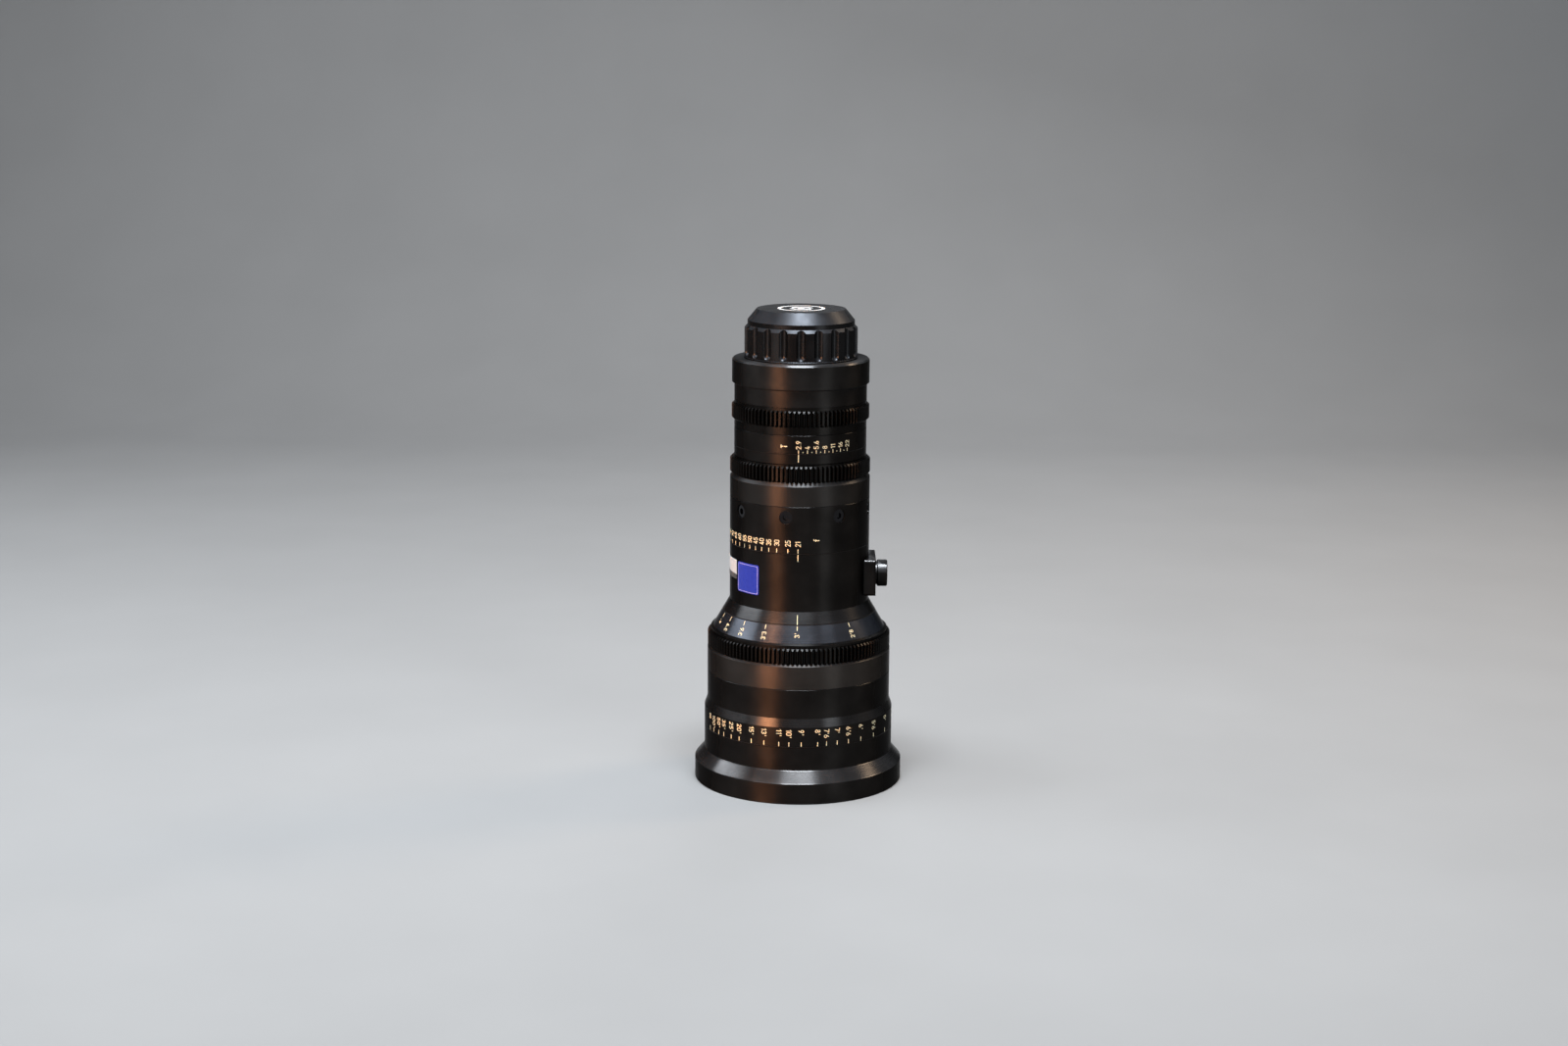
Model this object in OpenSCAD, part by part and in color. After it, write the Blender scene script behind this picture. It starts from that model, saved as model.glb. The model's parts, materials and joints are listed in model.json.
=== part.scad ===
// Cinema zoom lens, standing on its front rim with the mount and its cap up.
// The origin is the centre of the front face and +Z runs back along the optical axis.
// All sizes are millimetres and all angles are degrees.

/* [Front bell] */
// How far the rim that a matte box clamps stands out from the plain barrel
rim_reach = 5.3; // [4.5:0.1:9]
// Height of the straight rim
rim_h = 11.2; // [9:0.2:16]
// Height of the cone behind the rim
bell_cone_h = 6.1; // [4:0.1:9]
// Height of the plain barrel behind the cone
bell_barrel_h = 12.9; // [11.5:0.1:20]
// How far the plain barrel stands out from the focus grip
bell_reach = 1.6; // [0.8:0.1:3]
// Wall between the rim and the filter thread
rim_wall = 3.7; // [2:0.1:4.5]
// Depth of the filter thread
filter_depth = 6; // [4:0.5:8]

/* [Focus ring] */
// Radius of the plain grip and of the focus gear band
focus_r = 50.1; // [46:0.1:56]
// Height of the front scale band
focus_band_h = 10.8; // [8:0.1:14]
// Height of the taper between the scale band and the grip
focus_taper_h = 4.5; // [3:0.1:6]
// Height of the plain grip
focus_grip_h = 15.8; // [12:0.1:22]
// Height of the plain band ahead of the focus gear
focus_gear_band_h = 13.6; // [9:0.1:18]
// Height of the bevel behind the focus gear
focus_lip_h = 1.6; // [1.2:0.1:2.5]
// How far the distance cone starts inside the grip radius
cone_step = 3.3; // [3.2:0.1:4]
// Height of the distance cone
focus_cone_h = 8.7; // [6:0.1:12]

/* [Main barrel] */
// Radius of the main barrel and the zoom ring
barrel_r = 38; // [34:0.1:41]
// Height of the fixed cone between the distance cone and the barrel
barrel_cone_h = 6.5; // [5:0.1:9]
// Height of the plain barrel that carries the support foot
barrel_h = 31.6; // [28:0.2:40]

/* [Zoom ring] */
// Height of the zoom scale ring
zoom_scale_h = 25.4; // [23:0.1:32]
// Height of the plain band ahead of the zoom gear
zoom_band_h = 12.8; // [9:0.1:16]
// Height of the lip behind the zoom gear
zoom_lip_h = 0.65; // [0.45:0.05:1.5]
// Number of countersunk screws round the scale ring
zoom_screw_count = 8; // [4:1:12]
// Height of the screw row above the ring's front edge
zoom_screw_height = 19.7; // [15:0.1:20]
// Radius of a screw's countersunk head
zoom_screw_head_r = 3.6; // [2.5:0.1:4]
// Radius of a screw's shank
zoom_screw_r = 1.5; // [1:0.1:2]

/* [Iris ring] */
// How far the index collar and the iris scale lie below the barrel radius
collar_step = 2.2; // [1.6:0.1:2.6]
// Height of the fixed index collar
collar_h = 5.7; // [5:0.1:9]
// Height of the iris scale
iris_scale_h = 10; // [9:0.1:14]
// Height of the land between the iris scale and its gear
iris_land_h = 4.3; // [3:0.1:7]
// Height of the lip behind the iris gear
iris_lip_h = 1.65; // [1:0.05:3]
// How far the iris gear lies below the barrel radius
iris_gear_step = 0.8; // [0.6:0.1:1]

/* [Mount] */
// Height of the plain band behind the iris ring
rear_band_h = 9.3; // [8:0.1:14]
// How far the mount collar lies below the barrel radius
mount_step = 0.9; // [0.5:0.1:1.5]
// Height of the mount collar
mount_h = 12.85; // [11.5:0.05:18]
// Bevel round the rear edge of the mount collar
mount_bevel = 0.8; // [0.4:0.1:1.2]
// How far the bayonet's flange lies inside the barrel radius
flange_step = 8.5; // [7.8:0.1:9.2]
// Width of the bayonet's flange face
flange_w = 7.5; // [7:0.1:8.5]
// Height of the bayonet's barrel behind its flange
bayonet_h = 5.6; // [5:0.1:8]
// How far a bayonet lug stands out
lug_reach = 2.6; // [1.6:0.1:3]
// Thickness of a bayonet lug
lug_h = 1.8; // [1.2:0.1:2.4]
// Number of bayonet lugs
lug_count = 3; // [3:1:4]
// Number of screws that hold the bayonet
bayonet_screw_count = 4; // [3:1:6]

/* [Rear cap] */
// How far the cap's grip ribs lie inside the barrel radius
cap_step = 7.5; // [5:0.1:8]
// How far the neck above the ribs lies inside them
cap_neck_step = 1.6; // [1.2:0.1:1.8]
// Width of the bevel round the cap's flat top
cap_bevel_w = 4.9; // [3.5:0.1:7]
// Height of the ribbed skirt
cap_skirt_h = 16.2; // [13:0.1:20]
// Height of the cap
cap_h = 26.35; // [25:0.05:34]
// Height of the bevel under the flat top
cap_bevel_h = 5.95; // [4:0.05:7]
// Wall of the cap
cap_wall = 2; // [1.4:0.1:2.4]
// Number of grip ribs
cap_ribs = 20; // [14:1:24]

/* [Drive gears] */
// Module of the three drive gears
gear_module = 0.8; // [0.6:0.1:1]
// Width of the toothed bands
gear_w = 8.7; // [7:0.1:10]

/* [Support foot] */
// Width of the foot across the barrel
foot_w = 29; // [26:0.5:34]
// Height of the foot along the barrel
foot_h = 20; // [18:0.5:26]
// How far the foot stands out from the barrel
foot_rise = 3.6; // [3:0.1:6]
// Radius of the support boss
boss_r = 7.3; // [6.5:0.1:9]
// How far the boss stands out from the foot
boss_h = 6.5; // [5:0.1:10]
// Tapping radius of the 3/8 inch support thread
socket_r = 3.97; // [3:0.01:4.2]

/* [Travel] */
// Turn of the focus ring from the rest mark to the nearest mark
focus_turn_near = 40.4; // [30:0.1:45]
// Turn of the focus ring from the rest mark to infinity
focus_turn_far = 246.7; // [200:0.1:260]
// Focus cell travel per degree of the focus ring
focus_lead = 0.035; // [0.033:0.001:0.04]
// Turn of the zoom ring from wide to long
zoom_turn = 114; // [90:1:120]
// Variator travel per degree of the zoom ring
variator_lead = 0.3; // [0.25:0.01:0.32]
// Compensator travel per degree of the zoom ring
compensator_lead = 0.09; // [0.07:0.01:0.1]
// Turn of the iris ring from fully open to its last stop
iris_turn = 45.6; // [40:0.1:50]

/* [Iris] */
// Width of the iris mechanism, from the open aperture to its housing
iris_room = 16.55; // [16.2:0.05:18]
// Smallest radius that the blades close to
closed_r = 2; // [1.5:0.1:4]
// Number of blades, each with a node of its own
blade_count = 9; // [9:1:9]
// Thickness of a blade
blade_t = 0.2; // [0.1:0.01:0.22]
// Distance from one blade's level to the next
blade_pitch = 0.26; // [0.24:0.01:0.3]
// Arc that a blade's band spans
blade_span = 110; // [95:1:125]
// Radius of the blade pins
blade_pin_r = 0.8; // [0.6:0.05:0.9]

/* [Walls and fits] */
// Radial clearance of a running fit
run = 0.05; // [0.03:0.01:0.08]
// Visible seam between a turning ring and its fixed neighbour
seam = 0.15; // [0.1:0.01:0.3]
// Wall of the fixed tubes inside the focus ring
tube_wall = 1.8; // [1.5:0.1:2.4]
// Wall of the helicoid sleeve that carries the focus ring
sleeve_wall = 1.95; // [1.8:0.05:2.4]
// Wall of a gear ring under the roots of its teeth
gear_rim = 1.2; // [1:0.1:1.6]
// Wall of the zoom scale ring
zoom_scale_wall = 2; // [1.6:0.1:2.4]
// Wall of the zoom gear's skirt under the scale ring
zoom_skirt_wall = 1.55; // [1.3:0.05:2]
// Wall of the barrel's core under the zoom ring
core_wall = 2; // [1.6:0.1:2.6]
// Wall of the cam barrel
cam_wall = 2.4; // [2:0.1:3]
// Wall of the guide barrel
guide_wall = 1.8; // [1.4:0.1:2.4]
// Wall of the lens cells
cell_wall = 3; // [2.6:0.1:3.6]
// Radius of the cam follower rollers
roller_r = 2; // [1.5:0.1:2.2]
// Radius of the focus cell's helicoid pins
helix_pin_r = 1.5; // [1.2:0.1:1.5]

/* [Hidden] */
$fn = 96;

// One overrun for every cut, and the bevel on small turned edges
over = 1;
edge = 0.4;
// Facets of small round details
fine_fn = 40;
// Facets of the glass surfaces, which are small parts of large spheres
lens_fn = 192;

// Colours, as the finishes show in daylight
black_anodised = [0.12, 0.12, 0.13];
gear_black = [0.07, 0.07, 0.075];
satin_grey = [0.2, 0.2, 0.21];
steel = [0.62, 0.63, 0.65];
brass = [0.72, 0.58, 0.3];
glass_tint = [0.55, 0.7, 0.72, 0.4];
cap_black = [0.09, 0.09, 0.1];

// Radii of the visible rings
bell_r = focus_r + bell_reach;
rim_r = bell_r + rim_reach;
cone_r = focus_r - cone_step;
flange_r = barrel_r - flange_step;
bayonet_r = flange_r - flange_w;
cap_r = barrel_r - cap_step;
cap_neck_r = cap_r - cap_neck_step;
cap_top_r = cap_neck_r - cap_bevel_w;

// Heights of the visible seams, from the front face back
bell_cone_z = rim_h + bell_cone_h;
focus_z = bell_cone_z + bell_barrel_h;
focus_taper_z = focus_z + focus_band_h;
focus_grip_z = focus_taper_z + focus_taper_h;
focus_gear_z = focus_grip_z + focus_grip_h;
focus_teeth_z = focus_gear_z + focus_gear_band_h;
focus_lip_z = focus_teeth_z + gear_w;
cone_foot_z = focus_lip_z + focus_lip_h;
cone_rise = 0.8;
cone_z = cone_foot_z + cone_rise;
cone_split_z = cone_z + focus_cone_h;
barrel_z = cone_split_z + barrel_cone_h;
zoom_z = barrel_z + barrel_h;
zoom_gear_z = zoom_z + zoom_scale_h;
zoom_teeth_z = zoom_gear_z + zoom_band_h;
zoom_lip_z = zoom_teeth_z + gear_w;
collar_z = zoom_lip_z + zoom_lip_h + seam;
iris_z = collar_z + collar_h;
iris_gear_z = iris_z + iris_scale_h;
iris_teeth_z = iris_gear_z + iris_land_h;
iris_lip_z = iris_teeth_z + gear_w;
rear_band_z = iris_lip_z + iris_lip_h + seam;
mount_gap = 0.2;
mount_z = rear_band_z + rear_band_h + mount_gap;
flange_z = mount_z + mount_h;
cap_top_z = flange_z + cap_h;

// Cone from the focus ring down to the barrel
cone_run = barrel_z - cone_z;
cone_wall = 2;
cone_gap = 0.1;
function cone_at(z) = cone_r - (cone_r - barrel_r) * (z - cone_z) / cone_run;

// Drive gears: standard teeth, as many as fit each ring's radius
pressure_angle = 20;
dedendum_share = 1.25;
function teeth_for(r) = round(2 * r / gear_module) - 2;
function tip_r(teeth) = gear_module * (teeth + 2) / 2;
function root_r(teeth) = gear_module * (teeth / 2 - dedendum_share);
focus_teeth = teeth_for(focus_r);
zoom_teeth = teeth_for(barrel_r);
iris_teeth = teeth_for(barrel_r - iris_gear_step);

// Radii under the focus ring, from the gear inwards
focus_seat_r = root_r(focus_teeth) - gear_rim;
focus_bore_r = focus_seat_r - sleeve_wall;
front_tube_r = focus_bore_r - run;
front_bore_r = front_tube_r - tube_wall;
focus_cell_r = front_bore_r - run;

// Radii under the zoom ring, from the barrel inwards
zoom_seat_r = barrel_r - zoom_scale_wall;
zoom_bore_r = zoom_seat_r - zoom_skirt_wall;
core_r = zoom_bore_r - run;
core_bore_r = core_r - core_wall;
cam_r = core_bore_r - run;
cam_bore_r = cam_r - cam_wall;
guide_r = cam_bore_r - run;
guide_bore_r = guide_r - guide_wall;
zoom_cell_r = guide_bore_r - run;

// Radii under the iris ring
collar_r = barrel_r - collar_step;
iris_sleeve_wall = 1.1;
iris_seat_r = root_r(iris_teeth) - gear_rim;
iris_bore_r = iris_seat_r - iris_sleeve_wall;
rear_tube_r = iris_bore_r - run;
rear_tube_wall = 1.5;
rear_bore_r = rear_tube_r - rear_tube_wall;

// Neck that joins the front tube to the main barrel
neck_step = 1.5;
neck_wall = 1.8;
neck_r = barrel_r - cone_wall - cone_gap;
neck_bore_r = neck_r - neck_wall;
neck_end_z = barrel_z - neck_step;
tube_end_h = 2;
tube_end_z = focus_lip_z - neck_step;

// Front bell, inside
filter_r = rim_r - rim_wall;
baffle_step = 3.8;
bell_seat_h = 10.2;
bell_seat_z = focus_z - bell_seat_h;
bell_shoulder_h = 4;
bell_shoulder_gap = 0.25;
bell_shoulder_r = focus_cell_r + bell_shoulder_gap;

// Bevels at the ends of the teeth and of the bands beside them
gear_bevel = 1;
focus_lip_bevel = 0.8;
sleeve_end_z = cone_foot_z - edge;

// Focus cell and its two glasses, at the rest mark
focus_cell_h = 36;
focus_cell_z = bell_seat_z;
front_glass_r = focus_cell_r - cell_wall;
front_seat_h = 12;
front_glass_edge = 6;
front_curve = 110;
front_back_curve = 260;
glass_lip = 1.8;
web_h = 2.4;
web_step = 3;
retainer_gap = 0.3;
focus_rear_edge = 9;
focus_rear_curve = 95;
focus_rear_glass_r = front_glass_r - glass_lip;
focus_rear_glass_z = focus_cell_z + front_seat_h + web_h;
focus_rear_retainer_h = 3;
focus_pin_z = focus_cell_z + focus_cell_h - front_seat_h;
focus_pin_count = 3;
groove_floor = 0.75;
pin_tip_gap = 0.15;
pin_seat = 2;
groove_slack = 0.06;

// Zoom mechanism, at the wide end
follower_count = 3;
follower_slack = 0.15;
cam_shoulder_h = 3.5;
cam_end_gap = 0.2;
cam_front_z = neck_end_z + cam_shoulder_h + cam_end_gap;
guide_flange_h = 2.5;
guide_back_z = collar_z;
cam_back_z = guide_back_z - guide_flange_h - cam_end_gap;
cam_end_wall = 3.2;
guide_reach = 15.7;
guide_front_z = cam_front_z - guide_reach;
guide_slack = 0.05;
variator_z = cam_front_z + cam_end_wall + roller_r;
variator_far_z = variator_z + variator_lead * zoom_turn;
variator_front = 14;
variator_rear = 2.8;
compensator_wall = 3.4;
compensator_z = cam_back_z - cam_end_wall - roller_r - compensator_wall;
compensator_far_z = compensator_z - compensator_lead * zoom_turn;
compensator_front = 5.2;
compensator_rear = 6;
compensator_phase = 60;
roller_tip_gap = 0.3;
roller_reach = cam_r - roller_tip_gap - zoom_cell_r;
zoom_glass_r = zoom_cell_r - cell_wall;
zoom_glass_edge = 7;
zoom_lip = 2;
zoom_web_h = 2;
variator_curve = 62;
compensator_curve = 88;

// Zoom drive key, between the two sets of cams
key_h = 4;
key_angle = 12;
key_start = 90;
key_slack_angle = 1;
key_depth = 1.1;
key_slack = 0.2;
key_z = (variator_far_z + compensator_far_z - key_h) / 2;

// Screws of the zoom scale ring
first_screw_angle = -56.3;
screw_tip_gap = 0.1;
screw_sink = 0.6;
screw_socket_share = 0.5;
screw_socket_depth = 1;
zoom_screw_z = zoom_z + zoom_screw_height;

// Iris mechanism: actuator ring in front, then the blades and the base ring
iris_front_gap = 3;
actuator_h = 3;
actuator_z = iris_z + iris_front_gap;
iris_gap = 0.2;
blade_z = actuator_z + actuator_h + iris_gap;
blade_stack_h = blade_count * blade_pitch;
iris_base_z = blade_z + blade_stack_h + iris_gap;
iris_base_h = 2.5;
blade_relief = 0.3;
aperture_r = rear_bore_r - iris_room;
blade_in_r = aperture_r + blade_relief;
pivot_edge = 3.75;
pivot_r = rear_bore_r - pivot_edge;
blade_ear_r = 1.9;
blade_arm_w = 2.8;
blade_fan_steps = 4;
ear_reach = 4.6;
blade_out_r = pivot_r - ear_reach;
blade_lever = 7;
blade_lever_angle = 118;
blade_head_angle = 6;
blade_swing = 2 * asin((blade_in_r - closed_r) / (2 * pivot_r));
iris_slot_steps = 14;
slot_half = blade_pin_r + run;
iris_key_angle = 8;
iris_key_start = 200;

// Relay group and the mount, inside
relay_flange_h = 4;
relay_z = iris_base_z + iris_base_h;
relay_step = 1.5;
relay_tube_r = bayonet_r - relay_step;
relay_wall = 2;
relay_bore_r = relay_tube_r - relay_wall;
relay_end_h = 2.6;
relay_end_z = flange_z + relay_end_h;
relay_edge = 6;
relay_curve = 75;
relay_back_curve = 140;
relay_seat_h = 9;
rear_curve = 60;
rear_retainer_h = 2;
rear_spigot_wall = 1.9;
rear_spigot_r = collar_r - rear_spigot_wall;
rear_spigot_h = 3.8;
rear_wall_h = 4.3;
rear_wall_r = bayonet_r + cell_wall;
flange_h = 2;
lug_angle = 48;
lug_offset = 30;
bayonet_bore_r = relay_tube_r;
bayonet_hub_r = bayonet_r + flange_h;
bayonet_screw_r = 1;
bayonet_screw_head_r = 2;
bayonet_screw_length = 5;
bayonet_screw_orbit = (bayonet_hub_r + flange_r) / 2;

// Rear cap, inside and its flutes
cap_bore_r = cap_neck_r - cap_wall;
cap_base_h = 1;
cap_base_step = 0.2;
cap_rib_bevel_h = 1.7;
cap_roof_h = 2.6;
flute_relief = 0.1;
flute_share = 0.52;
flute_depth = cap_r - cap_neck_r - flute_relief;
claw_gap = 0.4;

// Support foot
foot_centre = 13.65;
foot_corner = 1.6;
foot_bevel = 0.7;
foot_screw_r = 1.25;
foot_screw_head_r = 2.4;
foot_screw_inset = 3.6;
foot_screw_length = 8;
foot_z = barrel_z + foot_centre;
foot_face = barrel_r + foot_rise;
boss_shank_r = 5.5;
boss_neck_r = 6.3;
boss_neck_h = 0.9;
boss_bevel = 0.5;
boss_floor = 0.8;

// A ring with square edges between two heights and two radii
module ring(z0, z1, inner, outer) {
    translate([0, 0, z0])
        rotate_extrude()
            translate([inner, 0])
                square([outer - inner, z1 - z0]);
}

// A part of a ring, from one angle over a span
module sector(z0, z1, inner, outer, start, span) {
    translate([0, 0, z0])
        rotate([0, 0, start])
            rotate_extrude(angle = span)
                translate([inner, 0])
                    square([outer - inner, z1 - z0]);
}

// A turned piece from its half section
module turned(points) {
    rotate_extrude()
        polygon(points);
}

// Places children on a spoke, with their +Z pointing outwards
module spoke(angle, z, r = 0) {
    rotate([0, 0, angle])
        translate([r, 0, z])
            rotate([0, 90, 0])
                children();
}

// A countersunk screw along -Z with its head's face at the origin
module countersunk_screw(shank_r, head_r, length) {
    socket_depth = screw_socket_depth * head_r / zoom_screw_head_r;
    difference() {
        union() {
            translate([0, 0, shank_r - head_r])
                cylinder(h = head_r - shank_r, r1 = shank_r, r2 = head_r, $fn = fine_fn);
            translate([0, 0, -length])
                cylinder(h = length + shank_r - head_r, r = shank_r, $fn = fine_fn);
        }
        translate([0, 0, -socket_depth])
            cylinder(h = socket_depth + over, r = head_r * screw_socket_share, $fn = 6);
    }
}

// The hole that such a screw fills
module countersunk_hole(shank_r, head_r, length) {
    translate([0, 0, shank_r - head_r])
        cylinder(h = head_r - shank_r, r1 = shank_r, r2 = head_r, $fn = fine_fn);
    translate([0, 0, -length])
        cylinder(h = length, r = shank_r, $fn = fine_fn);
    cylinder(h = over, r = head_r, $fn = fine_fn);
}

// Half the angle of an involute tooth at a radius
function involute(a) = tan(a) * 180 / PI - a;
function tooth_half(teeth, r) =
    90 / teeth + involute(pressure_angle)
    - involute(acos(gear_module * teeth / 2 * cos(pressure_angle) / r));
function polar(r, a) = [r * cos(a), r * sin(a)];
function tooth_points(teeth) = [
    for (i = [0 : teeth - 1], side = [-1, 1], step = [0 : 2])
        let (level = side < 0 ? step : 2 - step,
             r = [root_r(teeth), gear_module * teeth / 2, tip_r(teeth)][level])
        polar(r, 360 * i / teeth + side * tooth_half(teeth, r))];

// A toothed band with bevelled tooth ends, bored to the seat radius
module toothed_band(teeth, z, seat) {
    tip = tip_r(teeth);
    intersection() {
        translate([0, 0, z])
            linear_extrude(gear_w)
                difference() {
                    polygon(tooth_points(teeth));
                    circle(seat);
                }
        turned([
            [seat - over, z],
            [tip - gear_bevel, z],
            [tip + over, z + gear_bevel + over],
            [tip + over, z + gear_w - gear_bevel - over],
            [tip - gear_bevel, z + gear_w],
            [seat - over, z + gear_w]]);
    }
}

// A groove or slot along a helix: a pin at pin_angle and height z follows it while
// the tube turns from one angle to another and the pin moves lead per degree
cam_step = 5;
nose_relief = 0.03;
// Where a grooved tube's surface starts, away from the corners of its grooves
tube_start = 34.2;
function helix_half(width, lead, r) = width / 2 * sqrt(1 + pow(lead * 180 / PI / r, 2));
module helix_cut(inner, outer, width, pin_angle, z, lead, from, to) {
    half = helix_half(width, lead, (inner + outer) / 2);
    steps = ceil((to - from) / cam_step);
    points = [
        for (i = [0 : steps])
            let (turn = from + (to - from) * i / steps, a = pin_angle - turn, h = z + lead * turn)
            for (corner = [[inner, -half], [outer, -half], [outer, half], [inner, half]])
                [corner[0] * cos(a), corner[0] * sin(a), h + corner[1]]];
    faces = concat(
        [[0, 1, 2, 3]],
        [for (i = [0 : steps - 1], j = [0 : 3])
            [4 * i + j, 4 * i + 4 + j, 4 * i + 4 + (j + 1) % 4, 4 * i + (j + 1) % 4]],
        [[4 * steps + 3, 4 * steps + 2, 4 * steps + 1, 4 * steps]]);
    polyhedron(points = points, faces = faces);
    for (turn = [from, to])
        spoke(pin_angle - turn, z + lead * turn, inner + nose_relief)
            rotate([0, 0, 90])
                cylinder(
                    h = outer - inner - 2 * nose_relief,
                    r = width / 2 - nose_relief,
                    $fn = fine_fn);
}

// A straight slot along the axis, through a tube's wall
module guide_slot(angle, width, z0, z1, inner, outer) {
    rotate([0, 0, angle])
        translate([inner, -width / 2, z0])
            cube([outer - inner, width, z1 - z0]);
    for (z = [z0, z1])
        spoke(angle, z, inner)
            cylinder(h = outer - inner, r = width / 2, $fn = fine_fn);
}

// A lens element: a positive curve bulges out of its face, a negative one is hollow
// inside a narrow flat rim
function sag(curve, r) = abs(curve) - sqrt(curve * curve - r * r);
module element(z, r, thickness, front, back) {
    front_sag = sag(front, front > 0 ? r : r - edge);
    back_sag = sag(back, back > 0 ? r : r - edge);
    low = front > 0 ? z - front_sag : z;
    high = back > 0 ? z + thickness + back_sag : z + thickness;
    difference() {
        intersection() {
            translate([0, 0, low])
                cylinder(h = high - low, r = r);
            if (front > 0)
                translate([0, 0, z - front_sag + front])
                    sphere(front, $fn = lens_fn);
            if (back > 0)
                translate([0, 0, z + thickness + back_sag - back])
                    sphere(back, $fn = lens_fn);
        }
        if (front < 0)
            translate([0, 0, z + front_sag + front])
                sphere(-front, $fn = lens_fn);
        if (back < 0)
            translate([0, 0, z + thickness - back_sag - back])
                sphere(-back, $fn = lens_fn);
    }
}

// Front bell: rim, cone, filter thread, baffle and the seat of the front tube
module front_bell() {
    color(black_anodised)
        turned([
            [filter_r, 0],
            [rim_r - edge, 0],
            [rim_r, edge],
            [rim_r, rim_h],
            [rim_r - edge, rim_h + edge],
            [bell_r + edge, bell_cone_z - edge],
            [bell_r, bell_cone_z],
            [bell_r, focus_z],
            [front_tube_r, focus_z],
            [front_tube_r, bell_seat_z],
            [bell_shoulder_r, bell_seat_z],
            [bell_shoulder_r, bell_seat_z - bell_shoulder_h],
            [filter_r - baffle_step, filter_depth],
            [filter_r, filter_depth]]);
}

// Front tube: carries the focus ring outside and guides the focus cell inside
module front_tube() {
    color(satin_grey)
        difference() {
            turned([
                [front_bore_r, bell_seat_z],
                [front_tube_r, bell_seat_z],
                [front_tube_r, tube_end_z],
                [neck_r, tube_end_z],
                [neck_r, neck_end_z],
                [neck_bore_r, neck_end_z],
                [neck_bore_r, tube_end_z - tube_end_h],
                [front_bore_r, tube_end_z - tube_end_h]]);
            for (i = [0 : focus_pin_count - 1])
                guide_slot(
                    360 * i / focus_pin_count,
                    2 * (helix_pin_r + guide_slack),
                    focus_pin_z - focus_lead * focus_turn_near,
                    focus_pin_z + focus_lead * focus_turn_far,
                    front_bore_r - over,
                    front_tube_r + over);
        }
}

// Main barrel: fixed cone, plain barrel and the core under the zoom ring
module main_barrel() {
    color(black_anodised)
        difference() {
            turned([
                [neck_r, cone_split_z + seam],
                [cone_at(cone_split_z + seam), cone_split_z + seam],
                [barrel_r, barrel_z],
                [barrel_r, zoom_z],
                [core_r, zoom_z],
                [core_r, collar_z],
                [core_bore_r, collar_z],
                [core_bore_r, neck_end_z + cam_shoulder_h],
                [guide_r + cam_end_gap, neck_end_z + cam_shoulder_h],
                [guide_r + cam_end_gap, neck_end_z],
                [neck_r, neck_end_z]]);
            sector(
                key_z - key_slack,
                key_z + key_h + key_slack,
                core_bore_r - over,
                core_r + over,
                key_start - key_slack_angle,
                key_angle + zoom_turn + 2 * key_slack_angle);
            foot_screw_places()
                countersunk_hole(foot_screw_r, foot_screw_head_r, foot_screw_length);
        }
}

// Index collar between the zoom ring and the iris ring
module index_collar() {
    color(black_anodised)
        turned([
            [guide_r, collar_z],
            [collar_r - edge, collar_z],
            [collar_r, collar_z + edge],
            [collar_r, iris_z],
            [guide_r, iris_z]]);
}

// Rear barrel: iris housing, plain rear band and the spigot of the mount collar
module rear_barrel() {
    color(black_anodised)
        difference() {
            turned([
                [rear_bore_r, iris_z],
                [rear_tube_r, iris_z],
                [rear_tube_r, rear_band_z],
                [collar_r, rear_band_z],
                [collar_r, mount_z - mount_gap],
                [rear_spigot_r, mount_z - mount_gap],
                [rear_spigot_r, mount_z + rear_spigot_h],
                [rear_wall_r, mount_z + rear_spigot_h],
                [rear_wall_r, mount_z - rear_wall_h],
                [rear_bore_r, mount_z - rear_wall_h]]);
            sector(
                actuator_z - key_slack,
                actuator_z + actuator_h + key_slack,
                rear_bore_r - over,
                rear_tube_r + over,
                iris_key_start - iris_turn - key_slack_angle,
                iris_key_angle + iris_turn + 2 * key_slack_angle);
        }
}

// Mount collar with the recess of the bayonet
module mount_collar() {
    color(satin_grey)
        difference() {
            turned([
                [rear_spigot_r, mount_z],
                [barrel_r - mount_step, mount_z],
                [barrel_r - mount_step, flange_z - mount_bevel],
                [barrel_r - mount_step - mount_bevel, flange_z],
                [flange_r, flange_z],
                [flange_r, flange_z - flange_h],
                [bayonet_hub_r, flange_z - flange_h],
                [bayonet_hub_r, mount_z + rear_spigot_h],
                [rear_spigot_r, mount_z + rear_spigot_h]]);
            bayonet_screw_places()
                countersunk_hole(bayonet_screw_r, bayonet_screw_head_r, bayonet_screw_length);
        }
}

module bayonet_screw_places() {
    for (i = [0 : bayonet_screw_count - 1])
        rotate([0, 0, 360 * (i + 1 / 2) / bayonet_screw_count])
            translate([bayonet_screw_orbit, 0, flange_z])
                children();
}

// Bayonet: flange, barrel and lugs
module bayonet_ring() {
    color(steel)
        difference() {
            union() {
                turned([
                    [bayonet_bore_r, mount_z + rear_spigot_h],
                    [bayonet_hub_r, mount_z + rear_spigot_h],
                    [bayonet_hub_r, flange_z - flange_h],
                    [flange_r, flange_z - flange_h],
                    [flange_r, flange_z],
                    [bayonet_r, flange_z],
                    [bayonet_r, flange_z + bayonet_h],
                    [bayonet_bore_r, flange_z + bayonet_h]]);
                for (i = [0 : lug_count - 1])
                    sector(
                        flange_z + bayonet_h - lug_h,
                        flange_z + bayonet_h,
                        bayonet_bore_r,
                        bayonet_r + lug_reach,
                        360 * i / lug_count + lug_offset - lug_angle / 2,
                        lug_angle);
            }
            bayonet_screw_places()
                countersunk_hole(bayonet_screw_r, bayonet_screw_head_r, bayonet_screw_length);
        }
}

module bayonet_screws() {
    color(steel)
        bayonet_screw_places()
            countersunk_screw(bayonet_screw_r, bayonet_screw_head_r, bayonet_screw_length);
}

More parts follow.
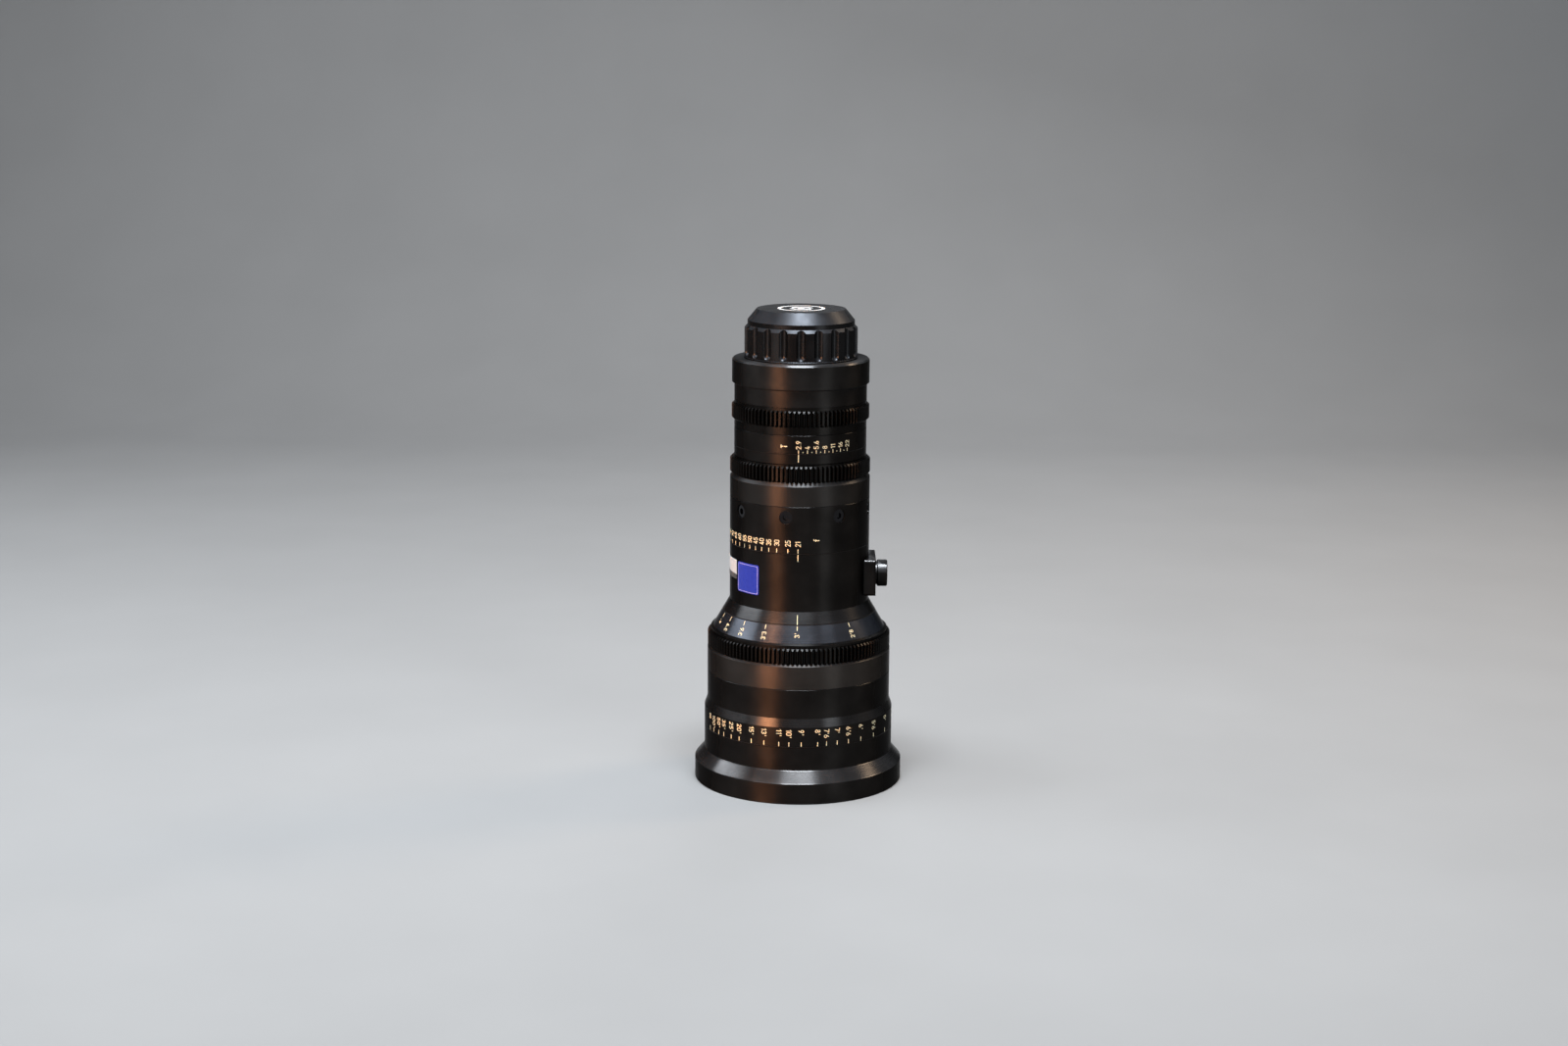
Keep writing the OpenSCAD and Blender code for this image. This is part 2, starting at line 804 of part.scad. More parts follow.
// Support foot: a saddle on the barrel with four screws and a threaded boss
module foot_screw_places() {
    for (y = [-1, 1], z = [-1, 1])
        translate([
            foot_face,
            y * (foot_w / 2 - foot_screw_inset),
            foot_z + z * (foot_h / 2 - foot_screw_inset)])
            rotate([0, 90, 0])
                children();
}

module foot_outline() {
    r = foot_corner;
    w = foot_h / 2 - r;
    h = foot_w / 2 - r;
    union() {
        square([2 * w + 2 * r, 2 * h], center = true);
        square([2 * w, 2 * h + 2 * r], center = true);
        for (x = [-w, w], y = [-h, h])
            translate([x, y])
                circle(r, $fn = fine_fn);
    }
}

module support_foot() {
    depth = foot_face - barrel_r * cos(asin(foot_w / 2 / barrel_r)) + over;
    color(black_anodised)
        difference() {
            spoke(0, foot_z, foot_face - depth)
                linear_extrude(depth)
                    foot_outline();
            translate([0, 0, foot_z - foot_h])
                cylinder(h = 2 * foot_h, r = barrel_r);
            for (y = [-1, 1])
                translate([foot_face, y * foot_w / 2, foot_z - foot_h])
                    rotate([0, 0, 45])
                        translate([-foot_bevel, -foot_bevel, 0])
                            cube([2 * foot_bevel, 2 * foot_bevel, 2 * foot_h]);
            spoke(0, foot_z, barrel_r - over)
                cylinder(h = foot_rise + 2 * over, r = boss_shank_r, $fn = fine_fn);
            foot_screw_places()
                countersunk_hole(foot_screw_r, foot_screw_head_r, foot_screw_length);
        }
}

module foot_screws() {
    color(steel)
        foot_screw_places()
            countersunk_screw(foot_screw_r, foot_screw_head_r, foot_screw_length);
}

// Support boss: a bush with the blind 3/8 inch support thread
module support_boss() {
    color(gear_black)
        difference() {
            spoke(0, foot_z)
                turned([
                    [0, barrel_r + run],
                    [boss_shank_r, barrel_r + run],
                    [boss_shank_r, foot_face],
                    [boss_neck_r, foot_face],
                    [boss_neck_r, foot_face + boss_neck_h],
                    [boss_r - boss_bevel, foot_face + boss_neck_h],
                    [boss_r, foot_face + boss_neck_h + boss_bevel],
                    [boss_r, foot_face + boss_h - boss_bevel],
                    [boss_r - boss_bevel, foot_face + boss_h],
                    [0, foot_face + boss_h]]);
            spoke(0, foot_z, barrel_r + run + boss_floor)
                cylinder(h = foot_rise + boss_h, r = socket_r, $fn = fine_fn);
        }
}

// Focus ring body: helicoid sleeve, ring, gear and distance cone
module focus_sleeve() {
    color(brass)
        difference() {
            rotate([0, 0, tube_start])
                ring(focus_z + seam, sleeve_end_z, focus_bore_r, focus_seat_r);
            for (i = [0 : focus_pin_count - 1])
                helix_cut(
                    focus_bore_r - over,
                    focus_seat_r - groove_floor,
                    2 * (helix_pin_r + groove_slack),
                    360 * i / focus_pin_count,
                    focus_pin_z,
                    focus_lead,
                    -focus_turn_near,
                    focus_turn_far);
        }
}

module focus_ring() {
    color(black_anodised)
        turned([
            [focus_seat_r, focus_z + seam],
            [bell_r, focus_z + seam],
            [bell_r, focus_taper_z],
            [focus_r, focus_grip_z],
            [focus_r, focus_gear_z - edge / 2],
            [focus_r - edge / 2, focus_gear_z],
            [focus_seat_r, focus_gear_z]]);
}

module focus_gear() {
    root = root_r(focus_teeth);
    color(gear_black)
        union() {
            turned([
                [focus_seat_r, focus_gear_z],
                [focus_r - edge / 2, focus_gear_z],
                [focus_r, focus_gear_z + edge / 2],
                [focus_r, focus_teeth_z - gear_bevel],
                [root, focus_teeth_z],
                [root, focus_lip_z],
                [focus_r - focus_lip_bevel - gear_bevel, cone_foot_z],
                [focus_seat_r, cone_z - cone_gap],
                [focus_seat_r, focus_teeth_z]]);
            toothed_band(focus_teeth, focus_teeth_z, focus_seat_r);
        }
}

module focus_scale_cone() {
    split_r = cone_at(cone_split_z);
    color(satin_grey)
        turned([
            [focus_bore_r, sleeve_end_z],
            [focus_seat_r - cone_gap, sleeve_end_z],
            [focus_seat_r - cone_gap, cone_foot_z],
            [cone_r, cone_z],
            [split_r, cone_split_z],
            [split_r - cone_wall, cone_split_z],
            [cone_r - cone_wall, cone_z]]);
}

// Focus cell: slides in the front tube on three pins that ride in the sleeve's grooves
module focus_cell() {
    cell_back_z = focus_cell_z + focus_cell_h;
    color(black_anodised)
        difference() {
            turned([
                [front_glass_r, focus_cell_z],
                [focus_cell_r, focus_cell_z],
                [focus_cell_r, cell_back_z],
                [focus_rear_glass_r, cell_back_z],
                [focus_rear_glass_r, focus_rear_glass_z],
                [focus_rear_glass_r - web_step, focus_rear_glass_z],
                [focus_rear_glass_r - web_step, focus_cell_z + front_seat_h],
                [front_glass_r, focus_cell_z + front_seat_h]]);
            focus_pin_places(focus_cell_r - pin_seat)
                cylinder(h = pin_seat + over, r = helix_pin_r, $fn = fine_fn);
        }
}

module focus_pin_places(r) {
    for (i = [0 : focus_pin_count - 1])
        spoke(360 * i / focus_pin_count, focus_pin_z, r)
            children();
}

module focus_pins() {
    tip = focus_seat_r - groove_floor - pin_tip_gap;
    color(steel)
        focus_pin_places(focus_cell_r - pin_seat)
            cylinder(h = tip - focus_cell_r + pin_seat, r = helix_pin_r, $fn = fine_fn);
}

module front_glass() {
    color(glass_tint)
        element(
            focus_cell_z + front_seat_h - front_glass_edge,
            front_glass_r,
            front_glass_edge,
            front_curve,
            -front_back_curve);
}

module front_retainer() {
    z = focus_cell_z + front_seat_h - front_glass_edge;
    color(black_anodised)
        turned([
            [front_glass_r - glass_lip + edge, focus_cell_z + retainer_gap],
            [front_glass_r, focus_cell_z + retainer_gap],
            [front_glass_r, z],
            [front_glass_r - glass_lip, z - glass_lip / 2]]);
}

module focus_rear_glass() {
    color(glass_tint)
        element(
            focus_rear_glass_z,
            focus_rear_glass_r,
            focus_rear_edge,
            -focus_rear_curve,
            focus_rear_curve);
}

module focus_rear_retainer() {
    z = focus_rear_glass_z + focus_rear_edge;
    color(black_anodised)
        turned([
            [focus_rear_glass_r - glass_lip, z + focus_rear_retainer_h],
            [focus_rear_glass_r, z + focus_rear_retainer_h],
            [focus_rear_glass_r, z],
            [focus_rear_glass_r - glass_lip, z + glass_lip / 2]]);
}

// Zoom ring body: gear with its skirt, scale ring, screws, drive key and cam barrel
module zoom_gear() {
    root = root_r(zoom_teeth);
    color(gear_black)
        difference() {
            union() {
                turned([
                    [zoom_bore_r, zoom_z + seam],
                    [zoom_seat_r, zoom_z + seam],
                    [zoom_seat_r, zoom_gear_z],
                    [barrel_r - edge / 2, zoom_gear_z],
                    [barrel_r, zoom_gear_z + edge / 2],
                    [barrel_r, zoom_teeth_z - 2 * gear_bevel],
                    [root, zoom_teeth_z],
                    [root, zoom_lip_z + zoom_lip_h],
                    [zoom_bore_r, zoom_lip_z + zoom_lip_h]]);
                toothed_band(zoom_teeth, zoom_teeth_z, zoom_seat_r - gear_bevel);
            }
            zoom_screw_holes();
        }
}

module zoom_screw_holes() {
    zoom_screw_places()
        translate([0, 0, -screw_sink])
            countersunk_hole(
                zoom_screw_r,
                zoom_screw_head_r,
                barrel_r - screw_sink - zoom_bore_r + over);
}

module zoom_screw_places() {
    for (i = [0 : zoom_screw_count - 1])
        spoke(first_screw_angle + 360 * i / zoom_screw_count, zoom_screw_z, barrel_r)
            children();
}

module zoom_scale_ring() {
    color(black_anodised)
        difference() {
            turned([
                [zoom_seat_r, zoom_z + seam],
                [barrel_r, zoom_z + seam],
                [barrel_r, zoom_gear_z - edge / 2],
                [barrel_r - edge / 2, zoom_gear_z],
                [zoom_seat_r, zoom_gear_z]]);
            zoom_screw_holes();
        }
}

module zoom_screws() {
    color(steel)
        zoom_screw_places()
            translate([0, 0, -screw_sink])
                countersunk_screw(
                    zoom_screw_r,
                    zoom_screw_head_r,
                    barrel_r - screw_sink - zoom_bore_r - screw_tip_gap);
}

module zoom_key() {
    color(steel)
        sector(key_z, key_z + key_h, cam_r - key_depth, zoom_bore_r, key_start, key_angle);
}

module cam_barrel() {
    color(brass)
        difference() {
            rotate([0, 0, tube_start])
                ring(cam_front_z, cam_back_z, cam_bore_r, cam_r);
            for (i = [0 : follower_count - 1]) {
                helix_cut(
                    cam_bore_r - over,
                    cam_r + over,
                    2 * (roller_r + follower_slack),
                    360 * i / follower_count,
                    variator_z,
                    variator_lead,
                    0,
                    zoom_turn);
                helix_cut(
                    cam_bore_r - over,
                    cam_r + over,
                    2 * (roller_r + follower_slack),
                    360 * i / follower_count + compensator_phase,
                    compensator_z,
                    -compensator_lead,
                    0,
                    zoom_turn);
            }
            sector(key_z, key_z + key_h, cam_r - key_depth, cam_r + over, key_start, key_angle);
        }
}

// Guide barrel: holds the two zoom cells on straight slots
module guide_barrel() {
    color(steel)
        difference() {
            turned([
                [guide_bore_r, guide_front_z],
                [guide_r, guide_front_z],
                [guide_r, guide_back_z - guide_flange_h],
                [core_bore_r, guide_back_z - guide_flange_h],
                [core_bore_r, guide_back_z],
                [guide_bore_r, guide_back_z]]);
            for (i = [0 : follower_count - 1]) {
                guide_slot(
                    360 * i / follower_count,
                    2 * (roller_r + guide_slack),
                    variator_z,
                    variator_far_z,
                    guide_bore_r - over,
                    guide_r + over);
                guide_slot(
                    360 * i / follower_count + compensator_phase,
                    2 * (roller_r + guide_slack),
                    compensator_far_z,
                    compensator_z,
                    guide_bore_r - over,
                    guide_r + over);
            }
        }
}

// A zoom cell with a glass seat that opens forwards, and its followers
module zoom_cell(z, front, rear, phase) {
    difference() {
        turned([
            [zoom_glass_r, z - front],
            [zoom_cell_r, z - front],
            [zoom_cell_r, z + rear],
            [zoom_glass_r - zoom_lip, z + rear],
            [zoom_glass_r - zoom_lip, z + rear - zoom_web_h],
            [zoom_glass_r, z + rear - zoom_web_h]]);
        zoom_followers(z, phase, over);
    }
}

module zoom_followers(z, phase, reach) {
    for (i = [0 : follower_count - 1])
        spoke(360 * i / follower_count + phase, z, zoom_cell_r - pin_seat)
            cylinder(h = pin_seat + reach, r = roller_r, $fn = fine_fn);
}

module zoom_retainer(z, front, rear) {
    seat_z = z + rear - zoom_web_h - zoom_glass_edge;
    turned([
        [zoom_glass_r - zoom_lip, z - front + retainer_gap],
        [zoom_glass_r, z - front + retainer_gap],
        [zoom_glass_r, seat_z],
        [zoom_glass_r - zoom_lip, seat_z - zoom_lip / 2]]);
}

module variator_cell() {
    color(black_anodised)
        zoom_cell(variator_z, variator_front, variator_rear, 0);
}

module variator_rollers() {
    color(steel)
        zoom_followers(variator_z, 0, roller_reach);
}

module variator_glass() {
    color(glass_tint)
        element(
            variator_z + variator_rear - zoom_web_h - zoom_glass_edge,
            zoom_glass_r,
            zoom_glass_edge,
            -variator_curve * 2,
            -variator_curve * 2);
}

module variator_retainer() {
    color(black_anodised)
        zoom_retainer(variator_z, variator_front, variator_rear);
}

module compensator_cell() {
    color(black_anodised)
        zoom_cell(compensator_z, compensator_front, compensator_rear, compensator_phase);
}

module compensator_rollers() {
    color(steel)
        zoom_followers(compensator_z, compensator_phase, roller_reach);
}

module compensator_glass() {
    color(glass_tint)
        element(
            compensator_z + compensator_rear - zoom_web_h - zoom_glass_edge,
            zoom_glass_r,
            zoom_glass_edge,
            compensator_curve,
            -compensator_curve * 2);
}

module compensator_retainer() {
    color(black_anodised)
        zoom_retainer(compensator_z, compensator_front, compensator_rear);
}

// Iris ring body: scale ring with the gear's sleeve, gear, drive key and actuator ring
module iris_ring() {
    color(black_anodised)
        turned([
            [iris_bore_r, iris_z + seam],
            [collar_r, iris_z + seam],
            [collar_r, iris_gear_z - edge / 2],
            [collar_r - edge / 2, iris_gear_z],
            [iris_seat_r, iris_gear_z],
            [iris_seat_r, iris_lip_z + iris_lip_h],
            [iris_bore_r, iris_lip_z + iris_lip_h]]);
}

module iris_gear() {
    root = root_r(iris_teeth);
    color(gear_black)
        union() {
            turned([
                [iris_seat_r, iris_gear_z],
                [collar_r - edge / 2, iris_gear_z],
                [collar_r, iris_gear_z + edge / 2],
                [collar_r, iris_teeth_z],
                [root, iris_teeth_z],
                [root, iris_lip_z],
                [collar_r, iris_lip_z],
                [collar_r, iris_lip_z + iris_lip_h],
                [iris_seat_r, iris_lip_z + iris_lip_h]]);
            toothed_band(iris_teeth, iris_teeth_z, iris_seat_r);
        }
}

module iris_key() {
    color(steel)
        sector(
            actuator_z,
            actuator_z + actuator_h,
            rear_bore_r - run,
            iris_bore_r,
            iris_key_start,
            iris_key_angle);
}

// Where a blade's drive pin is, seen from the actuator ring, at a share of its swing
function turned_about(p, a) =
    [p[0] * cos(a) - p[1] * sin(a), p[0] * sin(a) + p[1] * cos(a)];
function slot_point(t) =
    turned_about(
        [pivot_r, 0] + polar(blade_lever, blade_lever_angle - blade_swing * t),
        iris_turn * t);
function slot_side(t, side) =
    let (d = slot_point(t + 1 / iris_slot_steps) - slot_point(t - 1 / iris_slot_steps))
    slot_point(t) + side * slot_half * [-d[1], d[0]] / norm(d);

module iris_actuator() {
    color(satin_grey)
        difference() {
            ring(actuator_z, actuator_z + actuator_h, blade_in_r, rear_bore_r - run);
            for (i = [0 : blade_count - 1])
                rotate([0, 0, 360 * i / blade_count])
                    translate([0, 0, actuator_z - over])
                        linear_extrude(actuator_h + 2 * over) {
                            polygon(concat(
                                [for (i = [0 : iris_slot_steps])
                                    slot_side(i / iris_slot_steps, -1)],
                                [for (i = [iris_slot_steps : -1 : 0])
                                    slot_side(i / iris_slot_steps, 1)]));
                            for (t = [0, 1])
                                translate(slot_point(t))
                                    circle(slot_half, $fn = fine_fn);
                        }
        }
}

// Iris base: a fixed ring that carries the blade pivots
module iris_base() {
    color(satin_grey)
        difference() {
            ring(iris_base_z, iris_base_z + iris_base_h, blade_in_r, rear_bore_r);
            for (i = [0 : blade_count - 1])
                rotate([0, 0, 360 * i / blade_count])
                    translate([pivot_r, 0, iris_base_z - over])
                        cylinder(h = iris_base_h + 2 * over, r = slot_half, $fn = fine_fn);
        }
}

// A blade lies on a level of its own, its pivot pin reaches back into the base ring
// and its drive pin forward into the actuator ring
module blade_outline(lever) {
    intersection() {
        difference() {
            circle(blade_out_r);
            circle(blade_in_r);
        }
        polygon(concat(
            [[0, 0]],
            [for (i = [0 : blade_fan_steps])
                polar(
                    2 * blade_out_r,
                    blade_head_angle - (blade_span + blade_head_angle) * i / blade_fan_steps)]));
    }
    translate([blade_out_r - blade_arm_w / 2, -blade_arm_w / 2])
        square([pivot_r - blade_out_r + blade_arm_w / 2, blade_arm_w]);
    translate([pivot_r, 0])
        rotate(blade_lever_angle)
            translate([0, -blade_arm_w / 2])
                square([blade_lever, blade_arm_w]);
    for (p = [[pivot_r, 0], lever])
        translate(p)
            circle(blade_ear_r, $fn = fine_fn);
}

module iris_blade(k) {
    z = blade_z + (k - 1) * blade_pitch;
    mid_z = z + blade_t / 2;
    lever = [pivot_r, 0] + polar(blade_lever, blade_lever_angle);
    color(steel)
        rotate([0, 0, 360 * (k - 1) / blade_count])
            union() {
                translate([0, 0, z])
                    linear_extrude(blade_t)
                        blade_outline(lever);
                translate([pivot_r, 0, mid_z])
                    cylinder(
                        h = iris_base_z + iris_base_h - run - mid_z,
                        r = blade_pin_r,
                        $fn = fine_fn);
                translate([lever[0], lever[1], actuator_z])
                    cylinder(h = mid_z - actuator_z, r = blade_pin_r, $fn = fine_fn);
            }
}

module iris_blade_1() { iris_blade(1); }
module iris_blade_2() { iris_blade(2); }
module iris_blade_3() { iris_blade(3); }
module iris_blade_4() { iris_blade(4); }
module iris_blade_5() { iris_blade(5); }
module iris_blade_6() { iris_blade(6); }
module iris_blade_7() { iris_blade(7); }
module iris_blade_8() { iris_blade(8); }
module iris_blade_9() { iris_blade(9); }

// Relay group: a fixed cell behind the iris, with its two glasses and a retainer
module relay_cell() {
    color(black_anodised)
        turned([
            [relay_bore_r, relay_z],
            [rear_bore_r, relay_z],
            [rear_bore_r, relay_z + relay_flange_h],
            [relay_tube_r, relay_z + relay_flange_h],
            [relay_tube_r, relay_end_z],
            [relay_bore_r, relay_end_z],
            [relay_bore_r, relay_z + relay_seat_h + web_h],
            [relay_bore_r - glass_lip, relay_z + relay_seat_h + web_h],
            [relay_bore_r - glass_lip, relay_z + relay_seat_h],
            [relay_bore_r, relay_z + relay_seat_h]]);
}

module relay_glass() {
    color(glass_tint)
        element(
            relay_z + relay_seat_h - relay_edge,
            relay_bore_r,
            relay_edge,
            relay_curve,
            -relay_back_curve);
}

module rear_glass() {
    color(glass_tint)
        element(
            relay_end_z - rear_retainer_h - retainer_gap - relay_edge,
            relay_bore_r,
            relay_edge,
            -rear_curve,
            rear_curve * 2);
}

module rear_retainer() {
    z = relay_end_z - rear_retainer_h - retainer_gap;
    color(black_anodised)
        turned([
            [relay_bore_r, z],
            [relay_bore_r, relay_end_z - retainer_gap],
            [relay_bore_r - glass_lip, relay_end_z - retainer_gap],
            [relay_bore_r - glass_lip, z + rear_retainer_h / 2]]);
}

// Rear cap: a moulded shell with fluted grip ribs and three claws inside
module rear_cap() {
    claw_z = flange_z + bayonet_h - lug_h - claw_gap - lug_h;
    flute_w = flute_share * 2 * PI * cap_r / cap_ribs;
    flute_r = (flute_w * flute_w / 4 + flute_depth * flute_depth) / (2 * flute_depth);
    flute_floor_z = flange_z + cap_base_h + flute_r;
    color(cap_black) {
        difference() {
            turned([
                [cap_bore_r, flange_z],
                [cap_r + cap_base_step, flange_z],
                [cap_r + cap_base_step, flange_z + cap_base_h - cap_base_step],
                [cap_r, flange_z + cap_base_h],
                [cap_r, flange_z + cap_skirt_h],
                [cap_neck_r, flange_z + cap_skirt_h + cap_rib_bevel_h],
                [cap_neck_r, cap_top_z - cap_bevel_h],
                [cap_top_r, cap_top_z],
                [0, cap_top_z],
                [0, cap_top_z - cap_roof_h],
                [cap_top_r - cap_wall, cap_top_z - cap_roof_h],
                [cap_bore_r, cap_top_z - cap_bevel_h - cap_wall / 2]]);
            for (i = [0 : cap_ribs - 1])
                rotate([0, 0, 360 * i / cap_ribs - 90])
                    translate([cap_r - flute_depth + flute_r, 0, flute_floor_z]) {
                        cylinder(h = cap_skirt_h, r = flute_r, $fn = fine_fn);
                        sphere(flute_r, $fn = fine_fn);
                    }
        }
        for (i = [0 : lug_count - 1])
            sector(
                claw_z,
                claw_z + lug_h,
                bayonet_r + claw_gap,
                cap_bore_r + cap_wall / 2,
                360 * (i + 1 / 2) / lug_count + lug_offset - lug_angle / 2,
                lug_angle);
    }
}

front_bell();
front_tube();
main_barrel();
index_collar();
rear_barrel();
mount_collar();
bayonet_ring();
bayonet_screws();
support_foot();
foot_screws();
support_boss();
focus_sleeve();
focus_ring();
focus_gear();
focus_scale_cone();
focus_cell();
focus_pins();
front_glass();
front_retainer();
focus_rear_glass();
focus_rear_retainer();
zoom_gear();
zoom_scale_ring();
zoom_screws();
zoom_key();
cam_barrel();
guide_barrel();
variator_cell();
variator_rollers();
variator_glass();
variator_retainer();
compensator_cell();
compensator_rollers();
compensator_glass();
compensator_retainer();
iris_ring();
iris_gear();
iris_key();
iris_actuator();
iris_base();
iris_blade_1();
iris_blade_2();
iris_blade_3();
iris_blade_4();
iris_blade_5();
iris_blade_6();
iris_blade_7();
iris_blade_8();
iris_blade_9();
relay_cell();
relay_glass();
rear_glass();
rear_retainer();
rear_cap();
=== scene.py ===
import json
import math

import bpy
from mathutils import Matrix, Vector


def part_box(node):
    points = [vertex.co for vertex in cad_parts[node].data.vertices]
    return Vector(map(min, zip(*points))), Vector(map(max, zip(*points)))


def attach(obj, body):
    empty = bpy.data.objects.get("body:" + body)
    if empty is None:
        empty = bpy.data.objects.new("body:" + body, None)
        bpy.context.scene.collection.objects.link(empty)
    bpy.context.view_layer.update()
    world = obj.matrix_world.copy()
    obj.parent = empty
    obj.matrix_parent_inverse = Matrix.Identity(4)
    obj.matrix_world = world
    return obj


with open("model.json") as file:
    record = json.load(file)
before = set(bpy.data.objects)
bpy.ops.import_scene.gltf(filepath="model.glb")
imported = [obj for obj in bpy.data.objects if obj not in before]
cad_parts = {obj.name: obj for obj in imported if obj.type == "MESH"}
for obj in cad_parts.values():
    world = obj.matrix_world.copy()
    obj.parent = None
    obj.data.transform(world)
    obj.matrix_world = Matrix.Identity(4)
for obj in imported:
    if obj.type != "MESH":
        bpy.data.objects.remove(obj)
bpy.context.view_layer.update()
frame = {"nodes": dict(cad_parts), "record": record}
nodes = frame["nodes"]
MM = 0.001

# Camera: where the photograph was taken from, in metres and degrees
CAMERA_DISTANCE = 1.3164
CAMERA_HEIGHT = 0.4064
CAMERA_PITCH = 11.35
CAMERA_YAW = -0.37
CAMERA_ROLL = -0.40
SENSOR_WIDTH = 36.0
LENS = 56.46


def add_camera():
    pitch = math.radians(CAMERA_PITCH)
    yaw = math.radians(CAMERA_YAW)
    roll = math.radians(CAMERA_ROLL)
    forward = Vector(
        (math.sin(yaw) * math.cos(pitch), math.cos(yaw) * math.cos(pitch), -math.sin(pitch))
    )
    level = Vector((math.cos(yaw), -math.sin(yaw), 0.0))
    down = forward.cross(level)
    right = level * math.cos(roll) + down * math.sin(roll)
    up = level * math.sin(roll) - down * math.cos(roll)
    turn = Matrix((right, up, -forward)).transposed().to_4x4()
    data = bpy.data.cameras.new("camera")
    data.sensor_width = SENSOR_WIDTH
    data.lens = LENS
    camera = bpy.data.objects.new("camera", data)
    camera.matrix_world = Matrix.Translation((0.0, -CAMERA_DISTANCE, CAMERA_HEIGHT)) @ turn
    bpy.context.scene.collection.objects.link(camera)
    bpy.context.scene.camera = camera


add_camera()


# Anodised metal reflects little at its edges, where paint or plastic would turn pale
EDGE_TINT = (0.3, 0.3, 0.3)

# The share of a surface's normal that points up tells a wall from a bevel and a bevel from a
# flat top: each pair is where the one begins to turn into the other, and where it has done so
BEVEL_SHARES = (0.2, 0.4)
TOP_SHARES = (0.9, 0.97)

# How much roughness bevels lose, less than nothing in plastic, and the tint of the highlight painted
# into their colour
BEVEL_POLISH = 0.13
PLASTIC_POLISH = -0.12
PAINTED_HIGHLIGHT_TINT = (0.92, 1.0, 1.1)


# Materials: each is a small node tree around one Principled shader
class Paint:
    """A material under construction, with short helpers for its nodes."""

    def __init__(self, name):
        self.material = bpy.data.materials.new(name)
        self.material.use_nodes = True
        self.tree = self.material.node_tree
        self.shader = self.tree.nodes["Principled BSDF"]
        space = self.node("ShaderNodeTexCoord")
        self.place = space.outputs["Object"]
        self.facing = space.outputs["Normal"]

    def node(self, kind, **settings):
        made = self.tree.nodes.new(kind)
        for name, value in settings.items():
            setattr(made, name, value)
        return made

    def link(self, source, target):
        self.tree.links.new(source, target)

    def set(self, **values):
        for name, value in values.items():
            self.shader.inputs[name.replace("_", " ")].default_value = value

    def feed(self, name, source):
        self.link(source, self.shader.inputs[name])

    def noise(self, scale, detail=2.0, stretch=(1.0, 1.0, 1.0), rough=0.5):
        mapping = self.node("ShaderNodeMapping")
        mapping.inputs["Scale"].default_value = stretch
        self.link(self.place, mapping.inputs["Vector"])
        texture = self.node("ShaderNodeTexNoise")
        texture.inputs["Scale"].default_value = scale
        texture.inputs["Detail"].default_value = detail
        texture.inputs["Roughness"].default_value = rough
        self.link(mapping.outputs["Vector"], texture.inputs["Vector"])
        return texture.outputs["Fac"]

    def ramp(self, source, stops):
        ramp = self.node("ShaderNodeValToRGB")
        elements = ramp.color_ramp.elements
        while len(elements) < len(stops):
            elements.new(0.5)
        for element, (position, colour) in zip(elements, stops):
            element.position = position
            element.color = (*colour, 1.0)
        self.link(source, ramp.inputs["Fac"])
        return ramp.outputs["Color"]

    def two_tone(self, source, colour, spread, start=0.3, end=0.7):
        """A colour that drifts between a darker and a lighter version of itself."""
        dark = tuple(c * (1 - spread) for c in colour)
        light = tuple(c * (1 + spread) for c in colour)
        return self.ramp(source, [(start, dark), (end, light)])

    def remap(self, source, low, high, start=0.3, end=0.7):
        """A value that runs from low to high while the source runs from start to end."""
        remap = self.node("ShaderNodeMapRange")
        limits = {"From Min": start, "From Max": end, "To Min": low, "To Max": high}
        for name, value in limits.items():
            remap.inputs[name].default_value = value
        self.link(source, remap.inputs["Value"])
        return remap.outputs["Result"]

    def combine(self, first, second, operation="ADD"):
        result = self.node("ShaderNodeMath", operation=operation)
        self.link(first, result.inputs[0])
        self.link(second, result.inputs[1])
        return result.outputs[0]

    def blend(self, share, first, second):
        mix = self.node("ShaderNodeMix", data_type="RGBA")
        self.link(share, mix.inputs["Factor"])
        self.link(first, mix.inputs[6])
        self.link(second, mix.inputs[7])
        return mix.outputs[2]

    def along_z(self, vector):
        parts = self.node("ShaderNodeSeparateXYZ")
        self.link(vector, parts.inputs["Vector"])
        return parts.outputs["Z"]

    def finish(self, tone, rough, lift, polish):
        """Colour and roughness: bevels and tapers that face up get a painted highlight in their
        colour, and are cut finer.
        """
        up = self.along_z(self.facing)
        bevel = self.remap(up, 0.0, 1.0, *BEVEL_SHARES)
        # Painted highlight: the colour of bevels that face up is multiplied by lift and a cool tint
        painted_highlight = self.node("ShaderNodeMix", data_type="RGBA", blend_type="MULTIPLY")
        painted_highlight.inputs[7].default_value = (*(lift * share for share in PAINTED_HIGHLIGHT_TINT), 1.0)
        self.link(bevel, painted_highlight.inputs["Factor"])
        self.link(tone, painted_highlight.inputs[6])
        self.feed("Base Color", painted_highlight.outputs[2])
        slanted = self.combine(bevel, self.remap(up, 1.0, 0.0, *TOP_SHARES), "MULTIPLY")
        finer = self.remap(slanted, 0.0, polish, 0.0, 1.0)
        self.feed("Roughness", self.combine(rough, finer, "SUBTRACT"))

    def between(self, low, high, soft=0.02):
        """1 between two heights in millimetres, 0 elsewhere."""
        z = self.along_z(self.place)
        above = self.remap(z, 0.0, 1.0, (low - soft) * MM, (low + soft) * MM)
        below = self.remap(z, 1.0, 0.0, (high - soft) * MM, (high + soft) * MM)
        return self.combine(above, below, "MULTIPLY")

    def bump(self, source, strength, depth):
        """Relief of a depth in millimetres, on top of any relief before it."""
        bump = self.node("ShaderNodeBump")
        bump.inputs["Strength"].default_value = strength
        bump.inputs["Distance"].default_value = depth * MM
        self.link(source, bump.inputs["Height"])
        before = self.shader.inputs["Normal"]
        if before.is_linked:
            self.link(before.links[0].from_socket, bump.inputs["Normal"])
        self.link(bump.outputs["Normal"], before)


